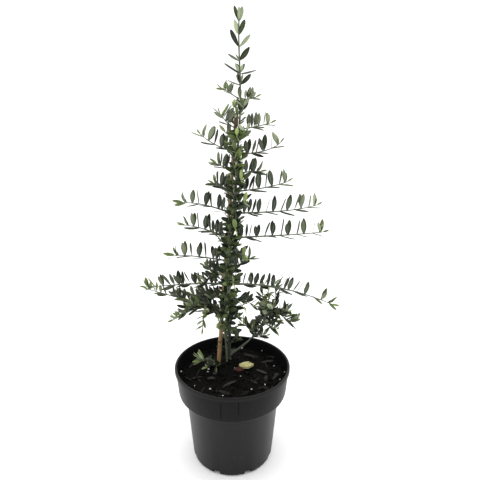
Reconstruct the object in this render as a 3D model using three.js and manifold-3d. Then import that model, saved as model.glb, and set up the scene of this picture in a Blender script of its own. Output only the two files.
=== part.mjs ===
// Young olive tree with a bamboo stake, in a round nursery pot.
// Millimetres, +Z up. The origin is the middle of the pot's underside, on the surface it stands on.
// Seen from the front, +X is to the right and +Y points away.

import * as THREE from 'three';
import { mergeVertices } from 'three/addons/utils/BufferGeometryUtils.js';
import Module from 'manifold-3d';

const wasm = await Module();
wasm.setup();

// Pot: a trade gallon, moulded in one piece, with a deep collar below the rim
const POT_HEIGHT = 145;
const RIM_RADIUS = 82.5;
const RIM_LIP = 6;
const COLLAR_DEPTH = 40;
const COLLAR_FOOT_RADIUS = 77.8;
const BODY_TOP_RADIUS = 66.8;
const FOOT_RADIUS = 59;
const FOOT_ROUND = 2.2;
const WALL = 1.8;
const POT_SIDES = 24;
const DRAIN_HOLES = 8;
const DRAIN_WIDTH = 11;
const DRAIN_HEIGHT = 7;
const DRAIN_DEPTH = 13;

// Soil: level below the rim, with a low mound round the trunk and a crumbly surface
const SOIL_LEVEL = 127;
const MOUND_RISE = 5;
const MOUND_SPREAD = 26;
const CRUMB = 1.1;
const SOIL_RINGS = [62, 44, 26, 10];

// Clearance between pieces that touch in the real plant
const GAP = 0.3;

// Trunk: thin, nearly upright, leaning a little to the right half way up
const TRUNK_FOOT = 100;
const TRUNK_TOP = 604;
const TRUNK_BACK = 34;
const TRUNK_BASE_RADIUS = 2.6;
const TRUNK_TIP_RADIUS = 0.7;
const TRUNK_TAPER = 0.8;
const LEAN_FROM = -4.5;
const LEAN_TO = 10.5;
const LEAN_START = 235;
const LEAN_RISE = 265;
const WIGGLE = 1;
const WIGGLE_PITCH = 150;
const WIGGLE_START = 325;
const TRUNK_SIDES = 6;
const TRUNK_STEPS = 26;

// Bamboo stake, straight, from deep in the soil to a cut top beside the trunk
const STAKE_FOOT = new THREE.Vector3(-24.6, 27, 84);
const STAKE_TOP = new THREE.Vector3(6.2, 26.6, 491);
const STAKE_FOOT_RADIUS = 3.1;
const STAKE_TOP_RADIUS = 2.3;
const STAKE_KNOTS = [0.2, 0.52, 0.93];
const KNOT_SWELL = 0.45;
const KNOT_HALF = 2.5;
const STAKE_SIDES = 7;

// Stems of the shoots
const STEM_SIDES = 4;
const STEM_STEP = 24;
const STEM_TURN = Math.PI / 7;
const STEM_TIP_RADIUS = 0.62;
const STEM_SLIMMEST = 0.85;
const STEM_THICKENING = 1 / 150;
const STEM_SWEEP = 0.05;

// Leaf blades: narrow ellipses, thicker than life so that they hold together
const BLADE_THICKNESS = 0.8;
const HEEL_THICKNESS = 1.1;
const ROOT_SINK = 0.3;
const LEAF_SLENDER = 0.31;
const TIP_LEAF_SLENDER = 0.26;
const LEADER_LEAF_SLENDER = 0.27;
const LEADER_LEAF_LEAST_WIDTH = 3.6;

// How leaves are spaced and turned along a shoot
const FIRST_PAIR = 11;
const LAST_PAIR = 4;
const PAIR_STAGGER = 0.7;
const UPPER_TILT = 74;
const LOWER_TILT = -16;
const FOOT_LEAF_SIZE = 0.86;
const TIP_LEAF_SHRINK = 0.22;
const YOUNG_FROM = 0.7;
const STAND_SPREAD = 8;
const LEAN_SPREAD = 9;
const TILT_SPREAD = 6;
const DRIFT_SPREAD = 0.15;
const LENGTH_SPREAD = 0.12;
const CURL_SPREAD = 1.2;
const TIP_LIFT = 0.12;
const TIP_CURL = 0.6;

const radians = THREE.MathUtils.degToRad;
const UP = new THREE.Vector3(0, 0, 1);

// Material colours
const OLD_LEAF = '#2e3a2b';
const INNER_LEAF = '#27311f';
const YOUNG_LEAF = '#6f8a45';
const BARK = '#5a5f4d';
const BLACK_PLASTIC = '#2f3033';
const DARK_SOIL = '#1c1a17';
const BAMBOO = '#b08a55';

function material(color, roughness) {
  return new THREE.MeshStandardMaterial({ color, roughness, metalness: 0 });
}

// A number from 0 to 1 that is always the same for the same seed
function chance(seed) {
  const value = Math.sin(seed * 12.9898 + 4.1414) * 43758.5453;
  return value - Math.floor(value);
}

function spread(seed, reach) {
  return (chance(seed) * 2 - 1) * reach;
}

// Mesh and solid conversion
function solidOf(geometry) {
  const bare = geometry.clone();
  bare.deleteAttribute('normal');
  bare.deleteAttribute('uv');
  const merged = mergeVertices(bare, 1e-4);
  return new wasm.Manifold(new wasm.Mesh({
    numProp: 3,
    vertProperties: new Float32Array(merged.attributes.position.array),
    triVerts: new Uint32Array(merged.index.array),
  }));
}

function geometryOf(solid) {
  const mesh = solid.getMesh();
  const geometry = new THREE.BufferGeometry();
  geometry.setAttribute('position', new THREE.BufferAttribute(mesh.vertProperties, 3));
  geometry.setIndex(new THREE.BufferAttribute(mesh.triVerts, 1));
  geometry.computeVertexNormals();
  return geometry;
}

function lathe(profile, sides) {
  const geometry = new THREE.LatheGeometry(profile.map(([r, z]) => new THREE.Vector2(r, z)), sides);
  return geometry.rotateX(Math.PI / 2);
}

// Trunk line: a gentle lean with a slight wiggle
function trunkAt(z) {
  const lean = THREE.MathUtils.smoothstep(z, LEAN_START, LEAN_START + LEAN_RISE);
  const wave = WIGGLE * Math.sin((2 * Math.PI * (z - WIGGLE_START)) / WIGGLE_PITCH);
  return new THREE.Vector3(LEAN_FROM + (LEAN_TO - LEAN_FROM) * lean + wave, TRUNK_BACK, z);
}

function trunkRadius(z) {
  const share = Math.max(0, (TRUNK_TOP - z) / (TRUNK_TOP - TRUNK_FOOT));
  return TRUNK_TIP_RADIUS + (TRUNK_BASE_RADIUS - TRUNK_TIP_RADIUS) * share ** TRUNK_TAPER;
}

class TrunkLine extends THREE.Curve {
  getPoint(t) {
    return trunkAt(TRUNK_FOOT + (TRUNK_TOP - TRUNK_FOOT) * t);
  }
}

// A round stem: a cylinder whose rings are moved on to a curve, with a radius for each place
function stemGeometry(curve, side, radiusAt, sides, steps) {
  const geometry = new THREE.CylinderGeometry(1, 1, 1, sides, steps);
  const places = geometry.attributes.position;
  const vertex = new THREE.Vector3();
  for (let i = 0; i < places.count; i += 1) {
    vertex.fromBufferAttribute(places, i);
    const t = vertex.y + 0.5;
    const radius = radiusAt(t);
    const tangent = curve.getTangent(t);
    const across = side.clone().addScaledVector(tangent, -side.dot(tangent)).normalize();
    const third = across.clone().cross(tangent);
    const place = curve.getPoint(t)
      .addScaledVector(across, vertex.x * radius)
      .addScaledVector(third, vertex.z * radius);
    places.setXYZ(i, place.x, place.y, place.z);
  }
  return geometry;
}

// One leaf blade with its root at the origin and its tip along +Y. Its section is a flat triangle,
// with the midrib along the underside at +Z, and it curls towards its upper face.
function bladeGeometry(length, width, curl, extra) {
  const half = width / 2 + extra;
  const outline = [[0, -ROOT_SINK], [half * 0.92, length * 0.34], [half * 0.86, length * 0.7],
    [0, length + extra]];
  const geometry = new THREE.LatheGeometry(outline.map(([r, y]) => new THREE.Vector2(r, y)), 3);
  const places = geometry.attributes.position;
  const edge = Math.sin(Math.PI / 3);
  for (let i = 0; i < places.count; i += 1) {
    const radius = Math.hypot(places.getX(i), places.getZ(i));
    const along = places.getY(i) / length;
    const thickness = (along < 0.5 ? HEEL_THICKNESS : BLADE_THICKNESS) + 2 * extra;
    const rise = radius > 0 ? (places.getZ(i) / radius) * thickness * (2 / 3) : 0;
    places.setX(i, places.getX(i) / edge);
    places.setZ(i, rise - curl * along * along);
  }
  return geometry;
}

// A leaf is a root point, the way its blade points, the way its upper face looks, and its sizes
function placedBlade(leaf, extra = 0) {
  const axis = leaf.axis.clone().normalize();
  const across = leaf.face.clone().cross(axis).normalize();
  const under = across.clone().cross(axis);
  const frame = new THREE.Matrix4().makeBasis(across, axis, under).setPosition(leaf.root);
  return bladeGeometry(leaf.length, leaf.width, leaf.curl, extra).applyMatrix4(frame);
}

function swung(leaf, turn, pitch, scale) {
  const across = leaf.axis.clone().cross(leaf.face).normalize();
  const axis = leaf.axis.clone().applyAxisAngle(leaf.face, turn).applyAxisAngle(across, pitch);
  const face = leaf.face.clone().applyAxisAngle(across, pitch);
  return { ...leaf, axis, face, length: leaf.length * scale, width: leaf.width * scale };
}

function heading(azimuth) {
  return new THREE.Vector3(Math.cos(radians(azimuth)), Math.sin(radians(azimuth)), 0);
}

// A direction that climbs from the level by an angle, and the upper face of a leaf that points so
function climbing(out, up, angle) {
  return {
    axis: out.clone().multiplyScalar(Math.cos(angle)).addScaledVector(up, Math.sin(angle)),
    face: out.clone().multiplyScalar(-Math.sin(angle)).addScaledVector(up, Math.cos(angle)),
  };
}

// The curve of a shoot: it leaves its foot at one slope and reaches its tip at another
function shootCurve({ foot, out, side, reach, rise, leave, arrive, sweep }) {
  const handle = Math.hypot(reach, rise) / 3;
  const leaving = climbing(out, UP, radians(leave)).axis.multiplyScalar(handle);
  const arriving = climbing(out, UP, radians(arrive)).axis.multiplyScalar(handle);
  const tip = foot.clone().addScaledVector(out, reach).addScaledVector(UP, rise);
  return new THREE.CubicBezierCurve3(
    foot,
    foot.clone().add(leaving),
    tip.clone().sub(arriving).addScaledVector(side, sweep),
    tip.clone().addScaledVector(side, sweep * 2),
  );
}

function stemSteps(curve) {
  const turn = curve.getTangent(0).angleTo(curve.getTangent(1));
  return Math.ceil(Math.max(1.5, curve.getLength() / STEM_STEP, turn / STEM_TURN));
}

// A point on the straight run between two rings of a stem, so that a leaf's root is always in wood
function stemPoint(curve, t) {
  const steps = stemSteps(curve);
  const ring = Math.min(steps - 1, Math.floor(t * steps));
  return curve.getPoint(ring / steps).lerp(curve.getPoint((ring + 1) / steps), t * steps - ring);
}

// The sideways and upward directions of a shoot at a place where it runs along one direction
function acrossShoot(shoot, along) {
  const side = shoot.side.clone().addScaledVector(along, -shoot.side.dot(along)).normalize();
  const up = along.clone().cross(side);
  if (up.z < 0) up.negate();
  return { side, up };
}

// Leaves stand in pairs, each pair a quarter turn on from the last: two that stand up on either
// side of the shoot, then one that leans forward above it and one that lies along under it.
// The steps between the seeds keep the draws for one leaf apart.
function pairLeaf(shoot, pair, hand, along) {
  const { side, up } = acrossShoot(shoot, along);
  const seed = shoot.number * 97 + pair * 7 + hand;
  const lean = radians(shoot.lean + spread(seed, LEAN_SPREAD));
  if ((pair + shoot.number) % 2 === 0) {
    const stand = radians(shoot.stand + spread(seed + 31, STAND_SPREAD));
    const open = climbing(side.clone().multiplyScalar(hand), up, stand);
    const axis = open.axis.multiplyScalar(Math.cos(lean)).addScaledVector(along, Math.sin(lean));
    return { axis, face: open.face };
  }
  const tilt = radians((hand > 0 ? UPPER_TILT : LOWER_TILT) + spread(seed + 83, TILT_SPREAD));
  const { axis, face } = climbing(along, up, tilt - (hand > 0 ? lean / 2 : 0));
  if (hand > 0) face.negate();
  axis.addScaledVector(side, spread(seed + 11, DRIFT_SPREAD)).normalize();
  face.addScaledVector(axis, -face.dot(axis)).normalize();
  return { axis, face };
}

function shootLeaves(shoot) {
  const { curve, pairs, number } = shoot;
  const leaves = [];
  const length = curve.getLength();
  const step = (length - LAST_PAIR - shoot.first) / Math.max(1, pairs - 1);
  for (let pair = 0; pair < pairs; pair += 1) {
    const t = (shoot.first + step * pair) / length;
    const young = Math.max(0, (t - YOUNG_FROM) / (1 - YOUNG_FROM));
    const grown = FOOT_LEAF_SIZE + (1 - FOOT_LEAF_SIZE) * Math.min(1, t * 2);
    for (const hand of [1, -1]) {
      const seed = number * 97 + pair * 7 + hand;
      const size = shoot.leaf * (grown - TIP_LEAF_SHRINK * young) * (1 + spread(seed + 57, LENGTH_SPREAD));
      leaves.push({
        ...pairLeaf(shoot, pair, hand, curve.getTangent(t)),
        pair,
        root: stemPoint(curve, t + (hand * PAIR_STAGGER) / length),
        length: size,
        width: size * LEAF_SLENDER,
        curl: spread(seed + 5, CURL_SPREAD),
      });
    }
  }
  const along = curve.getTangent(1);
  leaves.push({
    pair: pairs - 1,
    root: stemPoint(curve, 1 - 1 / length),
    axis: along.clone().addScaledVector(UP, TIP_LIFT).normalize(),
    face: acrossShoot(shoot, along).up,
    length: shoot.tip,
    width: shoot.tip * TIP_LEAF_SLENDER,
    curl: TIP_CURL,
  });
  return leaves;
}

// Main branches, in opposite pairs down the trunk: name, height on the trunk, azimuth, reach, rise,
// slope at the trunk, slope at the tip, leaf pairs, leaf length, tip leaf
const SIDE_BRANCHES = [
  ['branch_0_left', 510, 184, 24, 13, 30, 26, 3, 10, 7],
  ['branch_0_right', 510, 4, 20, 2, -8, 20, 3, 11, 8],
  ['branch_1_left', 472, 190, 25, 20, 22, 60, 3, 15, 9],
  ['branch_1_right', 472, 10, 42, 8, 8, 18, 5, 15, 9],
  ['branch_2_left', 442, 174, 50, 23, 15, 42, 5, 16, 9],
  ['branch_2_right', 440, -6, 57, 16, 3, 42, 5, 16, 8],
  ['branch_3_left', 416, 188, 27, 12, 22, 26, 3, 15, 14],
  ['branch_3_right', 414, 8, 33, 2, 12, -5, 4, 15, 12],
  ['branch_4_left', 389, 170, 32, 11, 14, 10, 3, 17, 11],
  ['branch_4_right', 390, -10, 70, 15, 8, 22, 7, 17, 9],
  ['branch_5_left', 359, 186, 70, 18, 22, 2, 7, 17, 18],
  ['branch_5_right', 359, 6, 118, 8, 2, 14, 11, 18, 10],
  ['branch_6_left', 324, 176, 66, 17, 18, 4, 7, 17, 15],
  ['branch_6_right', 324, -4, 125, 14, 5, 10, 11, 17, 9],
  ['branch_7_left', 290, 192, 77, 13, 13, 2, 7, 17, 20],
  ['branch_7_right', 273, 12, 32, 18, 42, 8, 4, 17, 9],
  ['branch_8_left', 254, 174, 126, -11, 3, -6, 10, 16, 8],
  ['branch_8_right', 254, -6, 146, -20, 6, -20, 12, 16, 14],
];

// Short inner shoots, one to the front and one to the back between each two pairs of branches
const INNER_SHOOTS = [
  ['inner_0_front', 494, -50, 9, 9, 40, 50, 2, 12, 9],
  ['inner_0_back', 492, 120, 12, 10, 40, 50, 2, 12, 9],
  ['inner_1_front', 458, -36, 16, 15, 40, 50, 2, 13, 10],
  ['inner_1_back', 456, 130, 28, 12, 25, 30, 3, 14, 9],
  ['inner_2_front', 429, -75, 24, 8, 20, 25, 3, 14, 9],
  ['inner_2_back', 430, 100, 40, 13, 20, 22, 4, 15, 9],
  ['inner_3_front', 403, -78, 26, 6, 15, 20, 3, 15, 9],
  ['inner_3_back', 401, 80, 46, 13, 18, 20, 4, 15, 9],
  ['inner_4_front', 375, -62, 26, 4, 12, 12, 3, 15, 9],
  ['inner_4_back', 376, 112, 52, 13, 16, 16, 4, 15, 9],
  ['inner_5_front', 342, -84, 30, 2, 10, 8, 3, 15, 9],
  ['inner_5_back', 343, 92, 58, 12, 14, 14, 4, 16, 9],
  ['inner_6_front', 306, -58, 32, 0, 8, 0, 3, 15, 9],
  ['inner_6_back', 307, 118, 60, 10, 12, 10, 4, 16, 9],
  ['inner_7_front', 271, -74, 34, -3, 6, -6, 3, 15, 9],
  ['inner_7_back', 272, 84, 64, 8, 10, 6, 4, 15, 9],
  ['inner_8_front', 240, -60, 36, -8, 4, -16, 3, 14, 9],
  ['inner_8_back', 241, 105, 66, 2, 8, -4, 4, 14, 9],
];

// Lower shoots from the trunk, dense on the left
const LOW_SHOOTS = [
  ['low_shoot_crown_left', 262, 158, 40, 14, 22, 12, 4, 13, 12],
  ['low_shoot_long_left', 212, 176, 124, 27, 14, 12, 7, 13, 8],
  ['low_shoot_back_left', 226, 148, 54, 8, 18, 0, 4, 13, 9],
  ['low_shoot_front_left', 216, 252, 42, -4, 10, -16, 4, 13, 9],
  ['low_shoot_thin_right', 232, -4, 39, -12, 10, -26, 3, 13, 9],
  ['low_shoot_small_right', 208, -34, 14, -3, 0, -10, 2, 10, 8],
];

// Shoots given by a curve through space: name, parent, four curve points, leaf pairs, distance of
// the first pair along the shoot, leaf length, tip leaf, radius
const FREE_SHOOTS = [
  ['bush_stem', 'trunk',
    [[-3, 34, 140], [20, 30, 160], [55, 22, 190], [51, 18, 250]], 7, 58, 13, 9, 1.8],
  ['bush_shoot_up', 'bush_stem',
    [[40, 24, 190], [60, 29, 196], [68, 31, 235], [59, 30, 258]], 6, 12, 13, 9, 1.1],
  ['bush_shoot_right', 'bush_stem',
    [[50, 20, 221], [63, 16, 228], [78, 12, 200], [91, 10, 207]], 4, 14, 14, 9, 1],
  ['bush_shoot_front', 'bush_stem',
    [[45, 22, 199], [52, 14, 200], [58, 6, 196], [62, 0, 200]], 3, 9, 13, 12, 1],
  ['bush_shoot_left', 'bush_stem',
    [[29, 27, 178], [26, 20, 190], [22, 12, 198], [14, 8, 204]], 3, 12, 13, 10, 1],
  ['bush_shoot_back', 'bush_stem',
    [[47, 21, 205], [48, 38, 210], [44, 48, 224], [44, 54, 242]], 4, 14, 13, 9, 1],
  ['low_shoot_hanging', 'trunk',
    [[-4, 34, 235], [-24, 31, 242], [-42, 20, 240], [-42, 3, 198]], 5, 18, 13, 12, 1.1],
  ['basal_shoot', 'soil',
    [[-9, 29, 108], [-7, 14, 262], [-30, 14, 238], [-86, 22, 203]], 7, 108, 13, 12, 1.5],
  ['soil_sucker', 'soil',
    [[-23, 20, 112], [-24, 20, 146], [-36, 20, 142], [-49, 19, 138]], 3, 40, 15, 14, 1],
];

// Leaves on the leader itself: height, azimuth, elevation, length, curl
const LEADER_LEAVES = [
  [600, 180, 72, 19, 0.5], [600, 0, 75, 18, 0.5], [601, 96, 80, 15, 0], [601, -84, 78, 16, 0],
  [585, 170, 70, 19, 0.4], [585, -10, 68, 19, 0.4],
  [571, 186, 60, 23, 0.8], [571, 6, 46, 21, 0.8],
  [555, 206, 24, 18, 1], [555, 10, 50, 21, 0.8], [556, 180, 55, 9, 0],
  [540, 182, 24, 23, 3], [540, 2, 4, 22, 3],
  [541, 200, 62, 13, 0.5], [541, 150, 66, 12, 0.5], [541, -26, 62, 12, 0.5], [541, 24, 64, 13, 0.5],
  [527, 168, 14, 18, 2], [527, -12, 30, 19, 3],
  [528, 214, 66, 14, 0.5], [528, 150, 62, 13, 0.5], [528, 30, 64, 13, 0.5], [528, -40, 68, 12, 0.5],
];

// Everything that has been placed so far, for keeping pieces clear of each other
const placed = [];

function remember(owner, pair, geometry) {
  geometry.computeBoundingBox();
  placed.push({ owner, pair, box: geometry.boundingBox.clone(), solid: solidOf(geometry) });
}

// A leaf may touch only its own stem and the other leaf of its pair
function isClear(owner, pair, geometry) {
  geometry.computeBoundingBox();
  const box = geometry.boundingBox;
  let solid = null;
  for (const other of placed) {
    const isOwn = other.owner === owner && (other.pair === null || other.pair === pair);
    if (isOwn || !other.box.intersectsBox(box)) continue;
    solid ??= solidOf(geometry);
    if (!solid.intersect(other.solid).isEmpty()) return false;
  }
  return true;
}

// Ways in which a leaf may be bent clear: swing in its plane, pitch, and a smaller size
const BENDS = [[0, 0, 1], [16, 0, 1], [-16, 0, 1], [0, 18, 1], [0, -18, 1], [30, 10, 0.9],
  [-30, 10, 0.9], [32, -24, 0.85], [-32, -24, 0.85], [0, 40, 0.8], [0, -40, 0.8], [0, 0, 0.6]];

// Fuses a shoot's leaves to its stem
function leafedSolid(owner, stemSolid, leaves) {
  let solid = stemSolid;
  for (const leaf of leaves) {
    const clear = BENDS
      .map(([turn, pitch, scale]) => swung(leaf, radians(turn), radians(pitch), scale))
      .find((bent) => isClear(owner, leaf.pair, placedBlade(bent, GAP / 2)));
    if (!clear) continue;
    const blade = placedBlade(clear);
    remember(owner, leaf.pair, blade);
    solid = solid.add(solidOf(blade));
  }
  return solid;
}

const olive = new THREE.Group();

function addNode(name, geometry, color, roughness) {
  const mesh = new THREE.Mesh(geometry, material(color, roughness));
  mesh.name = name;
  olive.add(mesh);
}

// Pot profile: the inner wall from the rim down, then the whole outline from the underside round
const collarFoot = POT_HEIGHT - COLLAR_DEPTH;
const INNER_WALL = [
  [RIM_RADIUS - WALL - 1, POT_HEIGHT],
  [RIM_RADIUS - WALL - 1.8, POT_HEIGHT - RIM_LIP],
  [COLLAR_FOOT_RADIUS - WALL, collarFoot + 2],
  [BODY_TOP_RADIUS - WALL, collarFoot - 8],
  [FOOT_RADIUS - WALL, WALL],
];

function makePot() {
  const profile = [
    [0, 0],
    [FOOT_RADIUS - FOOT_ROUND, 0],
    [FOOT_RADIUS, FOOT_ROUND],
    [BODY_TOP_RADIUS, collarFoot - 7],
    [COLLAR_FOOT_RADIUS - 1.2, collarFoot],
    [COLLAR_FOOT_RADIUS, collarFoot + 4],
    [RIM_RADIUS - 1.6, POT_HEIGHT - RIM_LIP],
    [RIM_RADIUS, POT_HEIGHT - RIM_LIP + 1],
    [RIM_RADIUS - 0.4, POT_HEIGHT],
    ...INNER_WALL,
    [0, WALL],
  ];
  let pot = solidOf(lathe(profile, POT_SIDES));
  for (let i = 0; i < DRAIN_HOLES; i += 1) {
    const hole = new THREE.BoxGeometry(DRAIN_DEPTH, DRAIN_WIDTH, DRAIN_HEIGHT * 2)
      .translate(FOOT_RADIUS, 0, 0)
      .rotateZ(((i + 0.5) * 2 * Math.PI) / DRAIN_HOLES);
    pot = pot.subtract(solidOf(hole));
  }
  addNode('pot', geometryOf(pot), BLACK_PLASTIC, 0.45);
}

// Stem and leaf solids
const trunkLine = new TrunkLine();
const trunkSide = new THREE.Vector3(0, 1, 0);

function trunkGeometry(extra) {
  const radiusAt = (t) => trunkRadius(TRUNK_FOOT + (TRUNK_TOP - TRUNK_FOOT) * t) + extra;
  return stemGeometry(trunkLine, trunkSide, radiusAt, TRUNK_SIDES, TRUNK_STEPS);
}

function stakeGeometry(extra) {
  const length = STAKE_TOP.distanceTo(STAKE_FOOT);
  const outline = [[0, -extra], [STAKE_FOOT_RADIUS + extra, -extra]];
  for (const knot of STAKE_KNOTS) {
    const radius = THREE.MathUtils.lerp(STAKE_FOOT_RADIUS, STAKE_TOP_RADIUS, knot) + extra;
    outline.push([radius, knot * length - KNOT_HALF], [radius + KNOT_SWELL, knot * length]);
    outline.push([radius, knot * length + KNOT_HALF]);
  }
  outline.push([STAKE_TOP_RADIUS + extra, length + extra], [0, length + extra]);
  const direction = STAKE_TOP.clone().sub(STAKE_FOOT).normalize();
  const turn = new THREE.Quaternion().setFromUnitVectors(UP, direction);
  return lathe(outline, STAKE_SIDES).applyQuaternion(turn).translate(...STAKE_FOOT.toArray());
}

function shootRadius(shoot, extra) {
  return (t) => THREE.MathUtils.lerp(shoot.radius, STEM_TIP_RADIUS, t) + extra;
}

function shootGeometry(shoot, extra) {
  const steps = stemSteps(shoot.curve);
  return stemGeometry(shoot.curve, shoot.side, shootRadius(shoot, extra), STEM_SIDES, steps);
}

// A shoot that starts just clear of the bark at a height on the trunk
function trunkShoot([name, height, azimuth, reach, rise, leave, arrive, pairs, leaf, tip], number, habit) {
  const radius = Math.min(STEM_SLIMMEST + reach * STEM_THICKENING, trunkRadius(height) * 0.75);
  const out = heading(azimuth);
  const side = heading(azimuth + 90);
  const start = trunkRadius(height) + GAP + radius * Math.abs(Math.sin(radians(leave)));
  const foot = trunkAt(height).addScaledVector(out, start);
  const sweep = spread(number * 13 + 3, STEM_SWEEP) * reach;
  const curve = shootCurve({ foot, out, side, reach: reach - start, rise, leave, arrive, sweep });
  return { name, number, parent: 'bark', curve, side, pairs, leaf, tip, radius, ...habit };
}

// A shoot that follows a curve of its own, from inside its parent stem or the soil
function freeShoot([name, parent, points, pairs, first, leaf, tip, radius], number, habit) {
  const ends = points.map((point) => new THREE.Vector3(...point));
  const curve = new THREE.CubicBezierCurve3(...ends);
  const run = ends[3].clone().sub(ends[0]);
  const side = new THREE.Vector3(-run.y, run.x, 0).normalize();
  return { name, number, parent, curve, side, pairs, leaf, tip, radius, ...habit, first };
}

// Habits: how far the side pairs stand up from level, how far leaves lean to the tip, how far the
// first pair is from the foot, and the colour
const SIDE_HABIT = { stand: 76, lean: 8, first: FIRST_PAIR, color: OLD_LEAF };
const INNER_HABIT = { stand: 44, lean: 20, first: 8, color: INNER_LEAF };
const LOW_HABIT = { stand: 52, lean: 20, first: FIRST_PAIR, color: OLD_LEAF };
const FREE_HABIT = { stand: 48, lean: 24, color: YOUNG_LEAF };

const shoots = [
  ...SIDE_BRANCHES.map((row, i) => trunkShoot(row, i + 1, SIDE_HABIT)),
  ...INNER_SHOOTS.map((row, i) => trunkShoot(row, i + 31, INNER_HABIT)),
  ...LOW_SHOOTS.map((row, i) => trunkShoot(row, i + 61, LOW_HABIT)),
  ...FREE_SHOOTS.map((row, i) => freeShoot(row, i + 81, FREE_HABIT)),
];

// Soil, with plain holes for whatever stands in it
function soilHeight(x, y) {
  const foot = trunkAt(SOIL_LEVEL);
  const away = Math.hypot(x - foot.x, y - foot.y) / MOUND_SPREAD;
  const crumbs = spread(Math.round(x) * 3.1 + Math.round(y) * 7.7, CRUMB);
  return SOIL_LEVEL + MOUND_RISE * Math.exp(-away * away / 2) + crumbs;
}

function soilGeometry() {
  const wall = INNER_WALL.slice(1).reverse().map(([r, z]) => [r - GAP * 1.4, z]);
  wall[0][1] += GAP;
  const collar = wall.pop();
  const shoulder = wall[wall.length - 1];
  const share = (SOIL_LEVEL - shoulder[1]) / (collar[1] - shoulder[1]);
  const edge = THREE.MathUtils.lerp(shoulder[0], collar[0], share);
  const rings = [edge, ...SOIL_RINGS, 0].map((radius) => [radius, SOIL_LEVEL]);
  const geometry = lathe([[0, wall[0][1]], ...wall, ...rings], POT_SIDES);
  const places = geometry.attributes.position;
  for (let i = 0; i < places.count; i += 1) {
    const x = places.getX(i);
    const y = places.getY(i);
    const isTop = places.getZ(i) > SOIL_LEVEL - GAP && Math.hypot(x, y) < edge - GAP;
    if (isTop) places.setZ(i, soilHeight(x, y));
  }
  return geometry;
}

// Wood chips on the soil, cut to its surface
const CHIPS = [
  { name: 'wood_chip_pale', at: [20.5, 17, 131.6], turn: 6, tip: [-7, 5], depth: 3.4, color: '#d8cfa0',
    outline: [[-12, -1], [-5, 6], [3, 9], [8, 6.5], [12.5, 1], [6, -4], [0, -8.5], [-6, -7]] },
  { name: 'wood_chip_brown', at: [9, 6, 131.2], turn: -18, tip: [5, -6], depth: 3, color: '#5a3a26',
    outline: [[-8, -3], [-4, 4], [5, 4.5], [8, 0], [3, -5]] },
];

function makeChip(chip) {
  const shape = new THREE.Shape(chip.outline.map(([x, y]) => new THREE.Vector2(x, y)));
  const geometry = new THREE.ExtrudeGeometry(shape, { depth: chip.depth, bevelEnabled: false })
    .translate(0, 0, -chip.depth / 2)
    .rotateX(radians(chip.tip[0]))
    .rotateY(radians(chip.tip[1]))
    .rotateZ(radians(chip.turn))
    .translate(...chip.at);
  const bed = solidOf(soilGeometry().translate(0, 0, GAP));
  addNode(chip.name, geometryOf(solidOf(geometry).subtract(bed)), chip.color, 0.85);
}

// The pot, then the soil with its holes and chips, then the stake
makePot();

const wide = { trunk: solidOf(trunkGeometry(GAP)) };
for (const shoot of shoots) wide[shoot.name] = solidOf(shootGeometry(shoot, GAP));

let soil = solidOf(soilGeometry()).subtract(wide.trunk).subtract(solidOf(stakeGeometry(GAP)));
for (const shoot of shoots) {
  if (shoot.parent === 'soil') soil = soil.subtract(wide[shoot.name]);
}
addNode('soil', geometryOf(soil), DARK_SOIL, 0.95);
for (const chip of CHIPS) makeChip(chip);
addNode('bamboo_stake', stakeGeometry(0), BAMBOO, 0.6);

// All stems are placed before any leaf, so that leaves keep clear of them
remember('soil', null, soilGeometry());
remember('bamboo_stake', null, stakeGeometry(0));
remember('trunk', null, trunkGeometry(0));
for (const shoot of shoots) remember(shoot.name, null, shootGeometry(shoot, 0));

const leaderLeaves = LEADER_LEAVES.map(([height, azimuth, elevation, length, curl]) => ({
  ...climbing(heading(azimuth), UP, radians(elevation)),
  pair: height,
  root: trunkAt(height),
  length,
  width: Math.max(length * LEADER_LEAF_SLENDER, LEADER_LEAF_LEAST_WIDTH),
  curl,
}));
addNode('trunk', geometryOf(leafedSolid('trunk', solidOf(trunkGeometry(0)), leaderLeaves)), BARK, 0.8);

for (const shoot of shoots) {
  const stem = solidOf(shootGeometry(shoot, 0));
  const parent = shoot.parent === 'soil' ? null : wide[shoot.parent];
  const solid = leafedSolid(shoot.name, parent ? stem.subtract(parent) : stem, shootLeaves(shoot));
  addNode(shoot.name, geometryOf(solid), shoot.color, 0.6);
}

export default olive;
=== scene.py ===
import math
from collections import namedtuple
from contextlib import contextmanager

import bmesh
import bpy
import numpy as np
from bpy.props import FloatProperty, FloatVectorProperty, IntProperty, PointerProperty
from mathutils import Matrix, Quaternion, Vector


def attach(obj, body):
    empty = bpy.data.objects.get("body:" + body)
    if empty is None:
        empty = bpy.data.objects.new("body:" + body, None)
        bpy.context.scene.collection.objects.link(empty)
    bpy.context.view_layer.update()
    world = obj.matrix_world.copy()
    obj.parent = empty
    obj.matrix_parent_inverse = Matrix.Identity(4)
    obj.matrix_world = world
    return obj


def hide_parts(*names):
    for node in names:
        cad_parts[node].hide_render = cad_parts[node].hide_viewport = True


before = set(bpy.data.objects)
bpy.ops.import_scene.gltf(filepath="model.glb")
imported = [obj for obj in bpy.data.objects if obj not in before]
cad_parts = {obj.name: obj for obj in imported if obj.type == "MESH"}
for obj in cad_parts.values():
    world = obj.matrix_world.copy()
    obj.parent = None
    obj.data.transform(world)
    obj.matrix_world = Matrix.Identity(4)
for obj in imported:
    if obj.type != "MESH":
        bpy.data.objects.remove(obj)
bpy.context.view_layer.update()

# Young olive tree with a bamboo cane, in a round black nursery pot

bl_info = {
    "name": "Potted young olive tree",
    "version": (1, 0, 0),
    "blender": (4, 5, 0),
    "location": "View3D > Sidebar > Olive",
    "description": "Builds a young olive tree in its nursery pot, piece by piece",
    "category": "Add Mesh",
}

# Lengths are in millimetres and angles in degrees, unless a line says otherwise
MM = 0.001
UP = Vector((0, 0, 1))

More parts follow.
